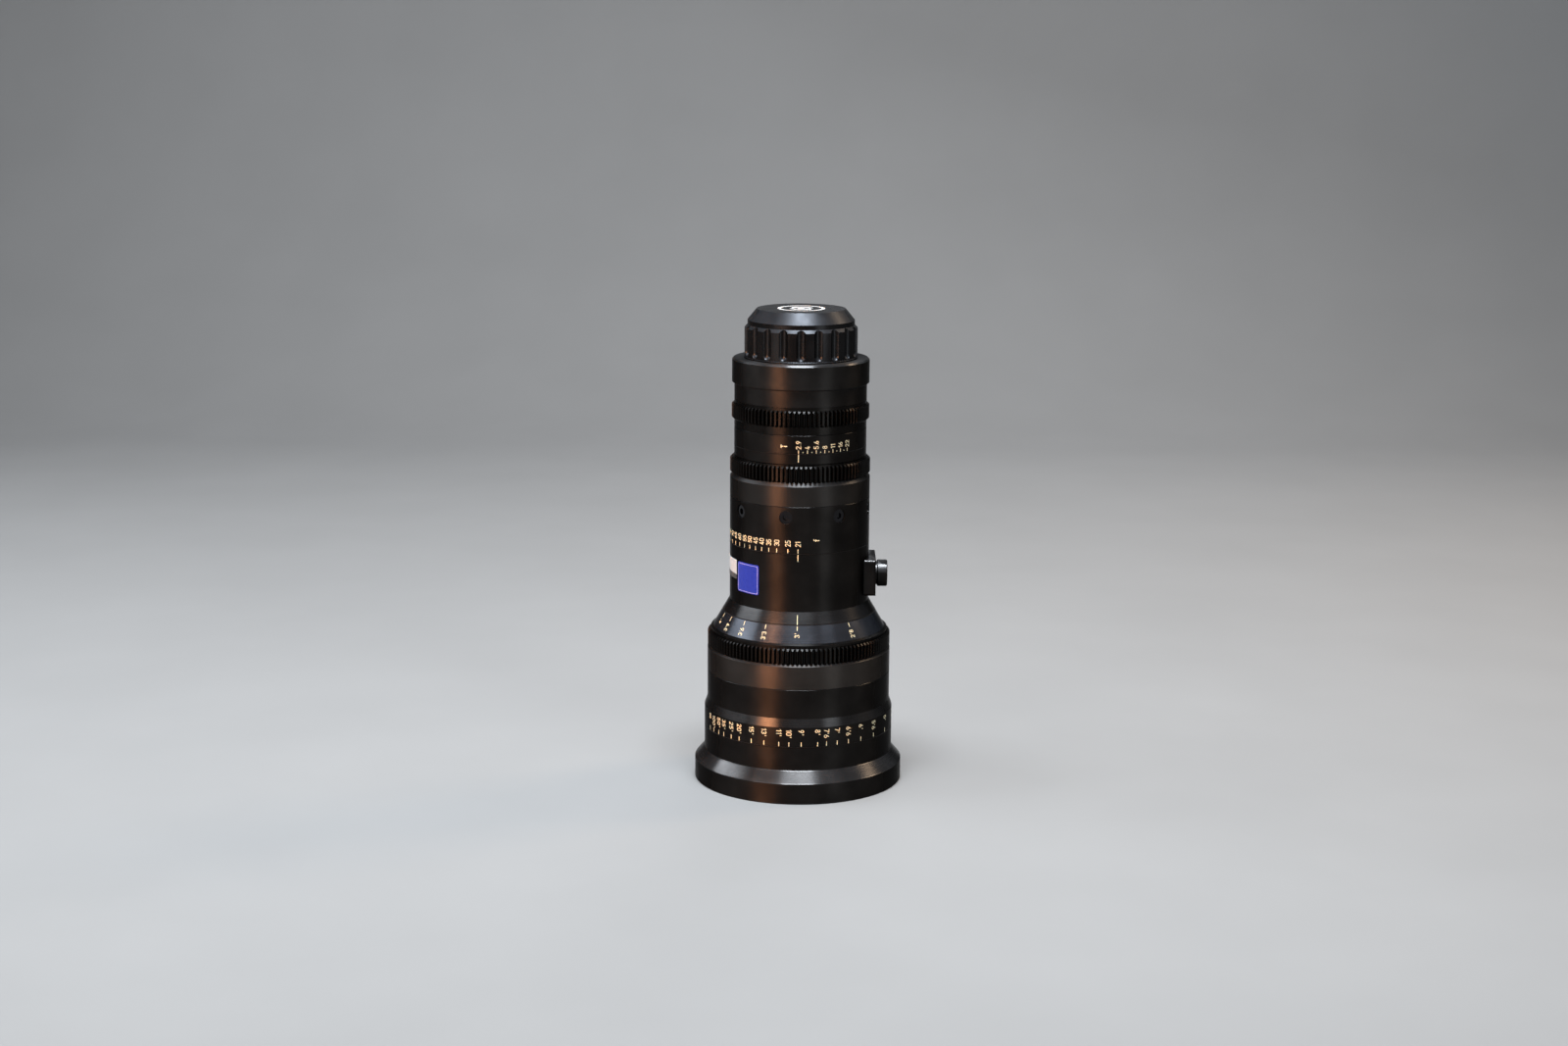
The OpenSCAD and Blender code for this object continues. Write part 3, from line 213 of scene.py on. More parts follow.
def anodised(name, colour, roughness, band=None, lift=3.0, polish=BEVEL_POLISH):
    """Black anodised aluminium: fine turning marks, a soft mottle and faint handling marks.

    band is (low z, high z, colour, added roughness) of a ring with a duller finish, lift is
    how much the colour of bevels that face up is raised into a painted highlight, and polish is how
    much roughness they lose."""
    paint = Paint(name)
    paint.set(Metallic=0.9, Specular_Tint=(*EDGE_TINT, 1.0))
    paint.set(Anisotropic=0.85, Anisotropic_Rotation=0.25)
    tangent = paint.node("ShaderNodeTangent", direction_type="RADIAL", axis="Z")
    paint.feed("Tangent", tangent.outputs["Tangent"])
    mottle = paint.noise(scale=70.0, detail=5.0)
    tone = paint.two_tone(mottle, colour, spread=0.25, start=0.32, end=0.68)
    turning = paint.noise(scale=1.0, detail=3.0, stretch=(4.0, 4.0, 5200.0), rough=0.7)
    smudge = paint.noise(scale=34.0, detail=6.0, stretch=(1.0, 1.0, 0.6), rough=0.65)
    rough = paint.combine(
        paint.remap(turning, -0.05, 0.05), paint.remap(smudge, roughness - 0.05, roughness + 0.06)
    )
    if band:
        foot, top, dull, more = band
        share = paint.between(foot, top)
        dull_tone = paint.two_tone(mottle, dull, spread=0.15, start=0.32, end=0.68)
        tone = paint.blend(share, tone, dull_tone)
        rough = paint.combine(rough, paint.remap(share, 0.0, more, 0.0, 1.0))
    paint.finish(tone, rough, lift, polish)
    paint.bump(turning, strength=0.06, depth=0.03)
    paint.bump(paint.noise(scale=2600.0), strength=0.08, depth=0.02)
    return paint.material


def turned_metal(name, colour, roughness):
    """Bare turned metal with fine rings round the axis."""
    paint = Paint(name)
    paint.set(Metallic=1.0)
    stain = paint.noise(scale=90.0, detail=5.0)
    paint.feed("Base Color", paint.two_tone(stain, colour, spread=0.12))
    rings = paint.noise(scale=1.0, detail=3.0, stretch=(5.0, 5.0, 3800.0), rough=0.7)
    paint.feed("Roughness", paint.remap(rings, roughness - 0.07, roughness + 0.07))
    paint.bump(rings, strength=0.1, depth=0.04)
    return paint.material


def moulded_plastic(name, colour, roughness):
    """Moulded plastic with a fine grain and faint flow marks, and a painted highlight on bevels that
    face up.
    """
    paint = Paint(name)
    paint.set(Metallic=0.8, Specular_Tint=(*EDGE_TINT, 1.0))
    tone = paint.two_tone(paint.noise(scale=48.0, detail=6.0), colour, spread=0.18)
    flow = paint.noise(scale=120.0, detail=4.0)
    rough = paint.remap(flow, roughness - 0.05, roughness + 0.07)
    paint.finish(tone, rough, lift=3.0, polish=PLASTIC_POLISH)
    paint.bump(paint.noise(scale=3200.0), strength=0.22, depth=0.03)
    return paint.material


def coated_glass(name, tints, coating):
    """Clear glass between two faint tints, under a coloured coating."""
    paint = Paint(name)
    paint.set(Transmission_Weight=1.0, IOR=1.52, Roughness=0.01)
    paint.set(Coat_Weight=0.4, Coat_Roughness=0.02, Coat_Tint=(*coating, 1.0))
    drift = paint.noise(scale=14.0, detail=1.0)
    paint.feed("Base Color", paint.ramp(drift, list(zip((0.3, 0.7), tints))))
    return paint.material


def printed(name, colour, roughness=0.45, specular=0.5):
    """Filled engraving, enamel or print: slightly uneven paint."""
    paint = Paint(name)
    paint.set(Specular_IOR_Level=specular)
    blotch = paint.noise(scale=420.0, detail=4.0)
    paint.feed("Base Color", paint.two_tone(blotch, colour, spread=0.06, start=0.35, end=0.65))
    fine = paint.noise(scale=900.0)
    paint.feed("Roughness", paint.remap(fine, roughness - 0.08, roughness + 0.08))
    paint.bump(paint.noise(scale=2400.0), strength=0.2, depth=0.02)
    return paint.material


# Feet and tops of the duller bands beside the focus and zoom gears, in millimetres
FOCUS_BAND = (61.3, 74.9)
ZOOM_BAND = (158.2, 171.0)

# Colours of metals, plastic, glass and prints
BLACK = (0.0125, 0.0118, 0.0112)
GEAR_BLACK = (0.011, 0.0104, 0.0098)
BAND_GREY = (0.034, 0.031, 0.0285)
ZOOM_GREY = (0.024, 0.0228, 0.0216)
BLUE_GREY = (0.029, 0.03, 0.033)
DARK_GREY = (0.0165, 0.0158, 0.0152)
STEEL = (0.52, 0.53, 0.55)
DARK_STEEL = (0.026, 0.026, 0.028)
BRASS = (0.66, 0.46, 0.2)
CAP_BLACK = (0.0135, 0.0138, 0.0146)
GLASS_TINTS = ((0.86, 0.95, 0.97), (0.9, 0.93, 0.99))
COATING = (0.55, 0.45, 0.9)
CREAM = (0.84, 0.8, 0.54)
WHITE = (0.84, 0.85, 0.86)
LABEL_GREY = (0.42, 0.52, 0.59)
LABEL_INK = (0.03, 0.031, 0.034)
# Painted shade for the gaps between rings
PAINTED_GAP_SHADE_COLOUR = (0.004, 0.004, 0.0042)
BADGE_BLUE = (0.014, 0.034, 0.38)
BADGE_LINE = (0.3, 0.34, 0.82)

# lift raises the colour of bevels that face up into a painted highlight, most on the front bell, the
# support and the mount collar
satin_black = anodised("satin_black_anodised", BLACK, 0.36)
black_with_painted_bevel_highlights = anodised("satin_black_with_painted_bevel_highlights", BLACK, 0.36, lift=6.0)
gear_black = anodised("semi_gloss_black_anodised", GEAR_BLACK, 0.27, lift=1.8, polish=0.0)
focus_gear_black = anodised(
    "black_gear_with_dull_focus_band", GEAR_BLACK, 0.29,
    band=(*FOCUS_BAND, BAND_GREY, 0.1), lift=2.4, polish=0.0,
)
zoom_gear_black = anodised(
    "black_gear_with_dull_zoom_band", GEAR_BLACK, 0.29,
    band=(*ZOOM_BAND, ZOOM_GREY, 0.12), lift=2.4, polish=0.0,
)
blue_grey = anodised("blue_grey_anodised", BLUE_GREY, 0.36, lift=2.0)
dark_grey = anodised("dark_grey_anodised", DARK_GREY, 0.42, lift=5.0)
bare_steel = turned_metal("turned_steel", STEEL, 0.26)
dark_steel = turned_metal("blackened_steel", DARK_STEEL, 0.2)
bare_brass = turned_metal("turned_brass", BRASS, 0.28)
lens_glass = coated_glass("coated_glass", GLASS_TINTS, COATING)
cap_plastic = moulded_plastic("moulded_black_plastic", CAP_BLACK, 0.24)
cream_fill = printed("cream_filled_engraving", CREAM)
white_print = printed("white_print", WHITE)
blue_enamel = printed("blue_enamel", BADGE_BLUE, 0.34, specular=0.25)
pale_enamel = printed("pale_blue_enamel_line", BADGE_LINE, 0.24)
label_print = printed("pale_label_print", LABEL_GREY)
label_ink = printed("dark_label_strip", LABEL_INK, 0.4)
# Painted shade, laid as dark lines in the gaps where rings meet
painted_gap_shade_black = printed("painted_gap_shade", PAINTED_GAP_SHADE_COLOUR, 0.6, specular=0.1)

# What each material slot of the solids is made of, and the nodes with a finish of their own
FINISHES = {
    "black_anodised": satin_black,
    "gear_black": gear_black,
    "dark_grey": dark_grey,
    "steel": bare_steel,
    "blackened_steel": dark_steel,
    "brass": bare_brass,
    "glass": lens_glass,
    "cap_plastic": cap_plastic,
}
OWN_FINISHES = {
    "focus_gear": focus_gear_black,
    "zoom_gear": zoom_gear_black,
    "focus_scale_cone": blue_grey,
    "mount_collar": dark_grey,
    "rear_barrel": dark_grey,
    "front_bell": black_with_painted_bevel_highlights,
    "support_foot": black_with_painted_bevel_highlights,
    "support_boss": black_with_painted_bevel_highlights,
}

for part in frame["record"]["subparts"]:
    finish = OWN_FINISHES.get(part["node"], FINISHES[part["material_slot"]])
    for material_slot in nodes[part["node"]].material_slots:
        material_slot.material = finish


# Lettering: strokes of a round-ended engraving cutter on a unit-high grid
def arc(cx, cy, rx, ry, start, end, steps=9):
    """Points along an arc round (cx, cy), from one angle to another in degrees."""
    return [
        (
            cx + rx * math.cos(math.radians(start + (end - start) * i / steps)),
            cy + ry * math.sin(math.radians(start + (end - start) * i / steps)),
        )
        for i in range(steps + 1)
    ]


def figure_of_eight(cx, cy, rx, ry, steps=28):
    """Points along a lying eight, the sign of infinity."""
    return [
        (
            cx + rx * math.cos(2 * math.pi * i / steps),
            cy + ry * math.sin(4 * math.pi * i / steps),
        )
        for i in range(steps + 1)
    ]


ZERO = arc(0.24, 0.76, 0.24, 0.24, 0, 180) + arc(0.24, 0.24, 0.24, 0.24, 180, 360) + [(0.48, 0.76)]
FIVE = [(0.44, 1.0), (0.06, 1.0), (0.03, 0.52)] + arc(0.22, 0.31, 0.25, 0.31, 112, -148)

# Each letter's advance and its strokes
GLYPHS = {
    "0": (0.7, [ZERO]),
    "1": (0.46, [[(0.02, 0.8), (0.22, 1.0), (0.22, 0.0)]]),
    "2": (0.68, [arc(0.23, 0.75, 0.23, 0.25, 168, -38) + [(0.0, 0.0), (0.48, 0.0)]]),
    "3": (0.68, [arc(0.22, 0.75, 0.22, 0.25, 155, -75), arc(0.23, 0.27, 0.24, 0.27, 82, -155)]),
    "4": (0.7, [[(0.27, 1.0), (0.0, 0.26), (0.5, 0.26)], [(0.36, 0.54), (0.36, 0.0)]]),
    "5": (0.68, [FIVE]),
    "6": (0.7, [arc(0.24, 0.28, 0.24, 0.28, 152, -208), [(0.03, 0.41), (0.33, 1.0)]]),
    "7": (0.64, [[(0.0, 1.0), (0.46, 1.0), (0.15, 0.0)]]),
    "8": (0.7, [arc(0.24, 0.76, 0.2, 0.24, 0, 360, 16), arc(0.24, 0.26, 0.24, 0.26, 0, 360, 16)]),
    "9": (0.7, [arc(0.24, 0.72, 0.24, 0.28, -28, 332), [(0.45, 0.59), (0.15, 0.0)]]),
    "'": (0.3, [[(0.06, 1.0), (0.06, 0.76)]]),
    ".": (0.28, [[(0.06, 0.02), (0.06, 0.03)]]),
    "T": (0.66, [[(0.0, 1.0), (0.48, 1.0)], [(0.24, 1.0), (0.24, 0.0)]]),
    "f": (0.5, [arc(0.34, 0.8, 0.18, 0.2, 80, 180) + [(0.16, 0.0)], [(0.04, 0.62), (0.3, 0.62)]]),
    "o": (1.05, [figure_of_eight(0.43, 0.5, 0.43, 0.34)]),
}
STROKE = 0.14

# At a sharp corner a stroke's edge moves out by at most its half width over this share
LEAST_CORNER_SHARE = 0.5


def ribbon(points, width, caps=6):
    """A stroke with round ends, as rows of a left and a right point."""
    half = width / 2
    sides = []
    for i, point in enumerate(points):
        before = Vector(points[max(i - 1, 0)])
        after = Vector(points[min(i + 1, len(points) - 1)])
        here = Vector(point)
        run_in = (here - before).normalized() if i else (after - here).normalized()
        run_out = (after - here).normalized() if i < len(points) - 1 else run_in
        mean = (run_in + run_out).normalized()
        reach = half / max(mean.dot(run_in), LEAST_CORNER_SHARE)
        side = Vector((-mean.y, mean.x)) * reach
        sides.append((here + side, here - side))
    first = Vector(points[0])
    last = Vector(points[-1])
    start = (Vector(points[1]) - first).normalized()
    end = (last - Vector(points[-2])).normalized()
    rows = [cap_row(first, -start, half, i / caps) for i in range(caps, 0, -1)]
    rows.extend(sides)
    rows.extend(cap_row(last, end, half, i / caps)[::-1] for i in range(1, caps + 1))
    return rows


def cap_row(centre, out, half, share):
    """One row of a stroke's round end, from 0 where the end starts to 1 at its tip."""
    angle = share * math.pi / 2
    side = Vector((-out.y, out.x)) * half * math.cos(angle)
    tip = centre + out * half * math.sin(angle)
    return tip - side, tip + side


def add_piece(name, vertices, faces, body, material, smooth=False):
    """A mesh that rides on a body, in one material."""
    mesh = bpy.data.meshes.new(name)
    mesh.from_pydata(vertices, [], faces)
    mesh.materials.append(material)
    for polygon in mesh.polygons:
        polygon.use_smooth = smooth
    mesh.update()
    made = bpy.data.objects.new(name, mesh)
    bpy.context.scene.collection.objects.link(made)
    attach(made, body)


def add_strip(vertices, faces, rows, place):
    """Four-sided faces between rows of two points, each put in its place."""
    base = len(vertices)
    for left, right in rows:
        vertices.append(place(left))
        vertices.append(place(right))
    for i in range(len(rows) - 1):
        a = base + 2 * i
        faces.append((a, a + 1, a + 3, a + 2))


# Prints stand this far off their surface, in millimetres, and a dot's stroke is this short
PRINT_LIFT = 0.03
DOT_RUN_SHARE = 0.02


class Print:
    """Flat shapes on a turned surface: x runs along the row of text, y up its letters.

    radius gives the surface's radius at a height, and slope is the height that a length
    along the surface covers."""

    def __init__(self, name, radius, lift=PRINT_LIFT, slope=1.0):
        self.name = name
        self.radius = radius
        self.lift = lift
        self.slope = slope
        self.vertices = []
        self.faces = []

    def point(self, azimuth, z):
        """A point in metres; azimuth runs from the front towards the camera's right."""
        r = self.radius(z) + self.lift
        a = math.radians(azimuth)
        return (r * math.sin(a) * MM, -r * math.cos(a) * MM, z * MM)

    def strip(self, rows, place):
        add_strip(self.vertices, self.faces, rows, place)

    def line(self, azimuth, z0, z1, width):
        """An engraved line along the axis."""
        steps = 4
        points = [(z0 + (z1 - z0) * i / steps, 0.0) for i in range(steps + 1)]
        self.strip(
            ribbon(points, width), lambda p: self.point(azimuth + self.turn(p[0], p[1]), p[0])
        )

    def turn(self, z, length):
        """The angle in degrees that a length round the surface takes at a height."""
        return math.degrees(length / self.radius(z))

    def upward(self, azimuth, z, p):
        """Text that reads upwards, with its letters' tops to the left."""
        h = z + p[0] * self.slope
        return self.point(azimuth - self.turn(h, p[1]), h)

    def downward(self, azimuth, z, p):
        """Text that reads downwards, with its letters' tops to the right."""
        h = z - p[0] * self.slope
        return self.point(azimuth + self.turn(h, p[1]), h)

    def text(self, words, azimuth, z, height, place=None, spread=1.0):
        """A row of letters that starts at a height; spread widens the letters and their gaps."""
        place = place or self.upward
        x = STROKE / 2
        wide = (1.0 + spread) / 2
        for letter in words:
            advance, strokes = GLYPHS[letter]
            for stroke_points in strokes:
                points = [((x + px * wide) * height, (py - 0.5) * height) for px, py in stroke_points]
                self.strip(ribbon(points, STROKE * height), lambda p: place(azimuth, z, p))
            x += advance * spread

    def dot(self, azimuth, z, radius):
        """A round dot: a very short stroke between two round ends."""
        points = [(0.0, 0.0), (radius * DOT_RUN_SHARE, 0.0)]
        self.strip(ribbon(points, 2 * radius), lambda p: self.upward(azimuth, z, p))

    def ring(self, low, high, steps=180):
        """A line all the way round the axis."""
        rows = [((360.0 * i / steps, low), (360.0 * i / steps, high)) for i in range(steps + 1)]
        self.strip(rows, lambda p: self.point(p[0], p[1]))

    def build(self, body, material):
        add_piece(self.name, self.vertices, self.faces, body, material)


# Radii and heights of the printed surfaces, from the frame, in millimetres
def low_z(node):
    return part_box(node)[0].z / MM


def high_z(node):
    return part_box(node)[1].z / MM


def outer_r(node):
    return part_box(node)[1].x / MM


bell_r = outer_r("focus_ring")
barrel_r = outer_r("zoom_scale_ring")
collar_r = outer_r("index_collar")
rear_r = outer_r("rear_barrel")
band_foot = low_z("focus_ring")
split_z = high_z("focus_scale_cone")
zoom_foot = low_z("zoom_scale_ring")
iris_foot = low_z("iris_ring")
mount_foot = low_z("mount_collar")

# The distance cone: its large radius, where its slope starts, how high the slope is, and the
# height that a length along the slope covers
CONE_R = 46.8
CONE_Z = 86.0
CONE_RUN = 15.2
CONE_SLOPE = 0.87


def cone_radius(z):
    return CONE_R - (CONE_R - barrel_r) * min(max(z - CONE_Z, 0.0), CONE_RUN) / CONE_RUN


def flat(radius):
    """The radius function of a plain cylinder."""
    return lambda z: radius


# Sizes of marks are in millimetres, and their heights count from the foot of their ring
TICK_FOOT = 0.5


def add_index(name, radius, azimuth, foot, top, width):
    """A fixed line beside a scale."""
    index = Print(name, radius)
    index.line(azimuth, foot, top, width)
    index.build("lens_body", cream_fill)


# Iris scale: evenly spaced stops from the index, with a dot between each two
IRIS_INDEX = -1.4
IRIS_STEP = 7.6
IRIS_STOPS = ["2.9", "4", "5.6", "8", "11", "16", "22"]
IRIS_TEXT_Z = 2.7
IRIS_TEXT_H = 2.4
IRIS_TEXT_SPREAD = 1.2
IRIS_TICK_TOP = 2.0
IRIS_TICK_W = 0.35
HALF_STOP_Z = 1.0
HALF_STOP_R = 0.25
IRIS_SIGN_TURN = 12.4
IRIS_SIGN_Z = 3.1
IRIS_SIGN_H = 3.2
IRIS_INDEX_FOOT = iris_foot - 4.2
IRIS_INDEX_TOP = iris_foot - 0.4
IRIS_INDEX_W = 0.45

iris_print = Print("iris_numerals", flat(collar_r))
for i, stop in enumerate(IRIS_STOPS):
    azimuth = IRIS_INDEX + IRIS_STEP * i
    iris_print.text(stop, azimuth, iris_foot + IRIS_TEXT_Z, IRIS_TEXT_H, spread=IRIS_TEXT_SPREAD)
    iris_print.line(azimuth, iris_foot + TICK_FOOT, iris_foot + IRIS_TICK_TOP, IRIS_TICK_W)
    if i:
        iris_print.dot(azimuth - IRIS_STEP / 2, iris_foot + HALF_STOP_Z, HALF_STOP_R)
iris_print.text("T", IRIS_INDEX - IRIS_SIGN_TURN, iris_foot + IRIS_SIGN_Z, IRIS_SIGN_H)
iris_print.build("iris_ring_body", cream_fill)
add_index(
    "iris_index", flat(collar_r), IRIS_INDEX, IRIS_INDEX_FOOT, IRIS_INDEX_TOP, IRIS_INDEX_W
)

# Zoom scale
ZOOM_INDEX = -1.1
ZOOM_MARKS = [
    ("21", -1.1), ("25", -9.3), ("30", -18.5), ("35", -25.4), ("40", -32.0), ("45", -38.1),
    ("50", -44.4), ("55", -50.8), ("60", -57.8), ("65", -64.8), ("70", -71.9), ("75", -79.2),
    ("80", -86.6), ("90", -100.8), ("100", -115.1),
]
ZOOM_TEXT_Z = 3.9
ZOOM_TEXT_H = 2.6
ZOOM_TICK_TOP = 2.4
ZOOM_TICK_W = 0.38
ZOOM_SIGN_AZIMUTH = 13.8
ZOOM_SIGN_Z = 6.5
ZOOM_SIGN_H = 3.0
ZOOM_INDEX_FOOT = zoom_foot - 4.0
ZOOM_INDEX_TOP = zoom_foot - 0.5
ZOOM_INDEX_W = 0.4

zoom_print = Print("zoom_numerals", flat(barrel_r))
for label, azimuth in ZOOM_MARKS:
    zoom_print.text(label, azimuth, zoom_foot + ZOOM_TEXT_Z, ZOOM_TEXT_H)
    zoom_print.line(azimuth, zoom_foot + TICK_FOOT, zoom_foot + ZOOM_TICK_TOP, ZOOM_TICK_W)
zoom_print.text("f", ZOOM_SIGN_AZIMUTH, zoom_foot + ZOOM_SIGN_Z, ZOOM_SIGN_H)
zoom_print.build("zoom_ring_body", cream_fill)
add_index(
    "zoom_index", flat(barrel_r), ZOOM_INDEX, ZOOM_INDEX_FOOT, ZOOM_INDEX_TOP, ZOOM_INDEX_W
)

# Focus scale: one scale, printed on the front band and half a turn away on the cone
FOCUS_INDEX = -1.1
FOCUS_MARKS = [
    ("o", -67.8), ("100'", -62.3), ("50'", -56.2), ("35'", -50.9), ("25'", -44.1), ("20'", -37.7),
    ("15'", -28.9), ("13'", -20.6), ("11'", -11.3), ("10'", -5.3), ("9'", 2.0), ("8'", 11.9),
    ("7'6", 17.3), ("7'", 24.1), ("6'6", 31.7), ("6'", 41.0), ("5'6", 52.4), ("5'", 66.3),
    ("4'6", 84.5), ("4'", 106.9), ("3'9", 120.2), ("3'6", 136.6), ("3'3", 155.4), ("3'", 178.9),
    ("2'8", 219.3),
]
HALF_TURN = 180.0
BAND_TEXT_TOP = 9.6
BAND_TEXT_H = 2.6
BAND_TEXT_SPREAD = 1.25
BAND_TICK_TOP = 2.5
BAND_TICK_W = 0.42
CONE_TEXT_TOP = split_z - 3.4
CONE_TEXT_LOWEST = 86.6
CONE_TEXT_H = 2.4
CONE_TEXT_SPREAD = 1.2
CONE_TICK_FOOT = split_z - 2.3
CONE_TICK_TOP = split_z - 0.5
CONE_TICK_W = 0.4
CONE_INDEX_FOOT = split_z + 0.6
CONE_INDEX_TOP = split_z + 5.0
CONE_INDEX_W = 0.42
BELL_INDEX_FOOT = band_foot - 4.0
BELL_INDEX_TOP = band_foot - 0.5
BELL_INDEX_W = 0.6


def cone_text_z(label):
    """Where a label starts on the cone, so that its end stands below its tick."""
    length = sum(GLYPHS[letter][0] for letter in label) * CONE_TEXT_SPREAD * CONE_TEXT_H
    return max(CONE_TEXT_TOP - length * CONE_SLOPE, CONE_TEXT_LOWEST)


band_print = Print("front_distance_numerals", flat(bell_r))
cone_print = Print("rear_distance_numerals", cone_radius, slope=CONE_SLOPE)
for label, azimuth in FOCUS_MARKS:
    band_print.text(
        label, azimuth, band_foot + BAND_TEXT_TOP, BAND_TEXT_H, band_print.downward,
        BAND_TEXT_SPREAD,
    )
    band_print.line(azimuth, band_foot + TICK_FOOT, band_foot + BAND_TICK_TOP, BAND_TICK_W)
    behind = azimuth - HALF_TURN
    cone_print.text(label, behind, cone_text_z(label), CONE_TEXT_H, spread=CONE_TEXT_SPREAD)
    cone_print.line(behind, CONE_TICK_FOOT, CONE_TICK_TOP, CONE_TICK_W)
band_print.build("focus_ring_body", cream_fill)
cone_print.build("focus_ring_body", cream_fill)
add_index(
    "rear_distance_index", cone_radius, FOCUS_INDEX, CONE_INDEX_FOOT, CONE_INDEX_TOP,
    CONE_INDEX_W,
)
add_index(
    "front_distance_index", flat(bell_r), FOCUS_INDEX + HALF_TURN, BELL_INDEX_FOOT,
    BELL_INDEX_TOP, BELL_INDEX_W,
)

# Painted shade in the gaps where rings meet, as dark lines: the surface, the edge that the line lies
# just below, its width
GAP_SHADE_OFFSET = 0.05
for name, radius, edge, width in (
    ("front_gap_shade", flat(bell_r), band_foot, 0.35),
    ("cone_gap_shade", cone_radius, CONE_INDEX_FOOT, 0.5),
    ("zoom_gap_shade", flat(barrel_r), zoom_foot, 0.35),
    ("iris_gap_shade", flat(collar_r), iris_foot, 0.3),
    ("rear_gap_shade", flat(rear_r), mount_foot, 0.75),
):
    gap_shade_line = Print(name, radius)
    gap_shade_line.ring(edge - GAP_SHADE_OFFSET - width, edge - GAP_SHADE_OFFSET)
    gap_shade_line.build("lens_body", painted_gap_shade_black)

# Plates on the barrel: rounded rectangles bent round it, with a small bevel. Their outlines
# have no longer side than PLATE_SIDE, and their edges reach PLATE_ROOT into the barrel
PLATE_SIDE = 1.2
PLATE_ROOT = 0.2
PLATE_BEVEL = 0.15
PLATE_RING_SHARES = (0.85, 0.7, 0.55, 0.4, 0.25, 0.12)


def rounded(half_w, half_h, corner, steps=6):
    outline = []
    for cx, cy, start in ((1, 1, 0), (-1, 1, 90), (-1, -1, 180), (1, -1, 270)):
        centre_x = cx * (half_w - corner)
        centre_y = cy * (half_h - corner)
        outline += arc(centre_x, centre_y, corner, corner, start, start + 90, steps)
    return outline


def divided(outline, most=PLATE_SIDE):
    """The same closed outline with no side longer than a limit."""
    points = []
    for i, (x0, y0) in enumerate(outline):
        x1, y1 = outline[(i + 1) % len(outline)]
        parts = max(1, math.ceil(math.hypot(x1 - x0, y1 - y0) / most))
        points += [(x0 + (x1 - x0) * k / parts, y0 + (y1 - y0) * k / parts) for k in range(parts)]
    return points


def middle_and_half(span):
    return (span[0] + span[1]) / 2, (span[1] - span[0]) / 2


def add_plate(name, span, heights, corner, thick, material, base=0.0):
    """A plate over a span of azimuths and of heights, on a layer that is base thick."""
    azimuth, half_turn = middle_and_half(span)
    z, half_h = middle_and_half(heights)
    half_w = math.radians(half_turn) * barrel_r
    bevel = min(PLATE_BEVEL, thick / 2)
    outline = divided(rounded(half_w, half_h, corner))
    rings = [(1.0, 0.0, -PLATE_ROOT), (1.0, 0.0, thick - bevel), (1.0, bevel, thick)]
    rings += [(share, bevel, thick) for share in PLATE_RING_SHARES]
    vertices = []
    for share, inset, lift in rings:
        for x, y in outline:
            px = x * share * (1 - inset / half_w)
            py = y * share * (1 - inset / half_h)
            a = math.radians(azimuth) + px / barrel_r
            r = barrel_r + base + lift
            vertices.append((r * math.sin(a) * MM, -r * math.cos(a) * MM, (z + py) * MM))
    count = len(outline)
    faces = []
    for ring in range(len(rings) - 1):
        for i in range(count):
            a = ring * count + i
            b = ring * count + (i + 1) % count
            faces.append((a, b, b + count, a + count))
    faces.append(tuple((len(rings) - 1) * count + i for i in range(count)))
    add_piece(name, vertices, faces, "lens_body", material)


BADGE_SPAN = (-59.8, -34.6)
BADGE_HEIGHTS = (108.7, 125.0)
BADGE_CORNER = 1.2
BADGE_THICK = 0.35
OUTLINE_INSET = 0.7
OUTLINE_CORNER = 0.7
OUTLINE_W = 0.28
OUTLINE_LIFT = BADGE_THICK + 0.02
add_plate("blue_badge", BADGE_SPAN, BADGE_HEIGHTS, BADGE_CORNER, BADGE_THICK, blue_enamel)


def add_badge_outline(caps=6):
    """A pale line inside the badge's edge; its stroke overlaps itself, so its ends are cut off."""
    azimuth, half_turn = middle_and_half(BADGE_SPAN)
    z, half_h = middle_and_half(BADGE_HEIGHTS)
    half_w = math.radians(half_turn) * barrel_r
    path = divided(rounded(half_w - OUTLINE_INSET, half_h - OUTLINE_INSET, OUTLINE_CORNER))
    path += path[:2]
    outline = Print("blue_badge_outline", flat(barrel_r), lift=OUTLINE_LIFT)
    outline.strip(
        ribbon(path, OUTLINE_W, caps)[caps:-caps],
        lambda p: outline.point(azimuth + math.degrees(p[0] / barrel_r), z + p[1]),
    )
    outline.build("lens_body", pale_enamel)


add_badge_outline()

LABEL_SPAN = (-98.0, -62.6)
LABEL_FOOT = 114.6
LABEL_TOP = 125.2
STRIP_TOP = 117.4
LABEL_CORNER = 0.6
LABEL_THICK = 0.12
STRIP_THICK = 0.05
add_plate(
    "pale_label", LABEL_SPAN, (LABEL_FOOT, LABEL_TOP), LABEL_CORNER, LABEL_THICK, label_print
)
add_plate(
    "label_strip", LABEL_SPAN, (LABEL_FOOT, STRIP_TOP), LABEL_CORNER, STRIP_THICK, label_ink,
    base=LABEL_THICK,
)

# Cap: a ring round two curved arrows that show the way it turns, and a dot on the axis
CAP_RING_R = 11.9
CAP_RING_W = 1.7
CAP_DOT_R = 2.0
ARROW_R = 5.4
ARROW_W = 2.2
ARROW_HEAD = 2.7
ARROW_STARTS = (10, 190)
ARROW_TURN = 120
ARROW_TIP_TURN = 34


def on_circle(radius, angle):
    a = math.radians(angle)
    return (radius * math.cos(a), radius * math.sin(a))


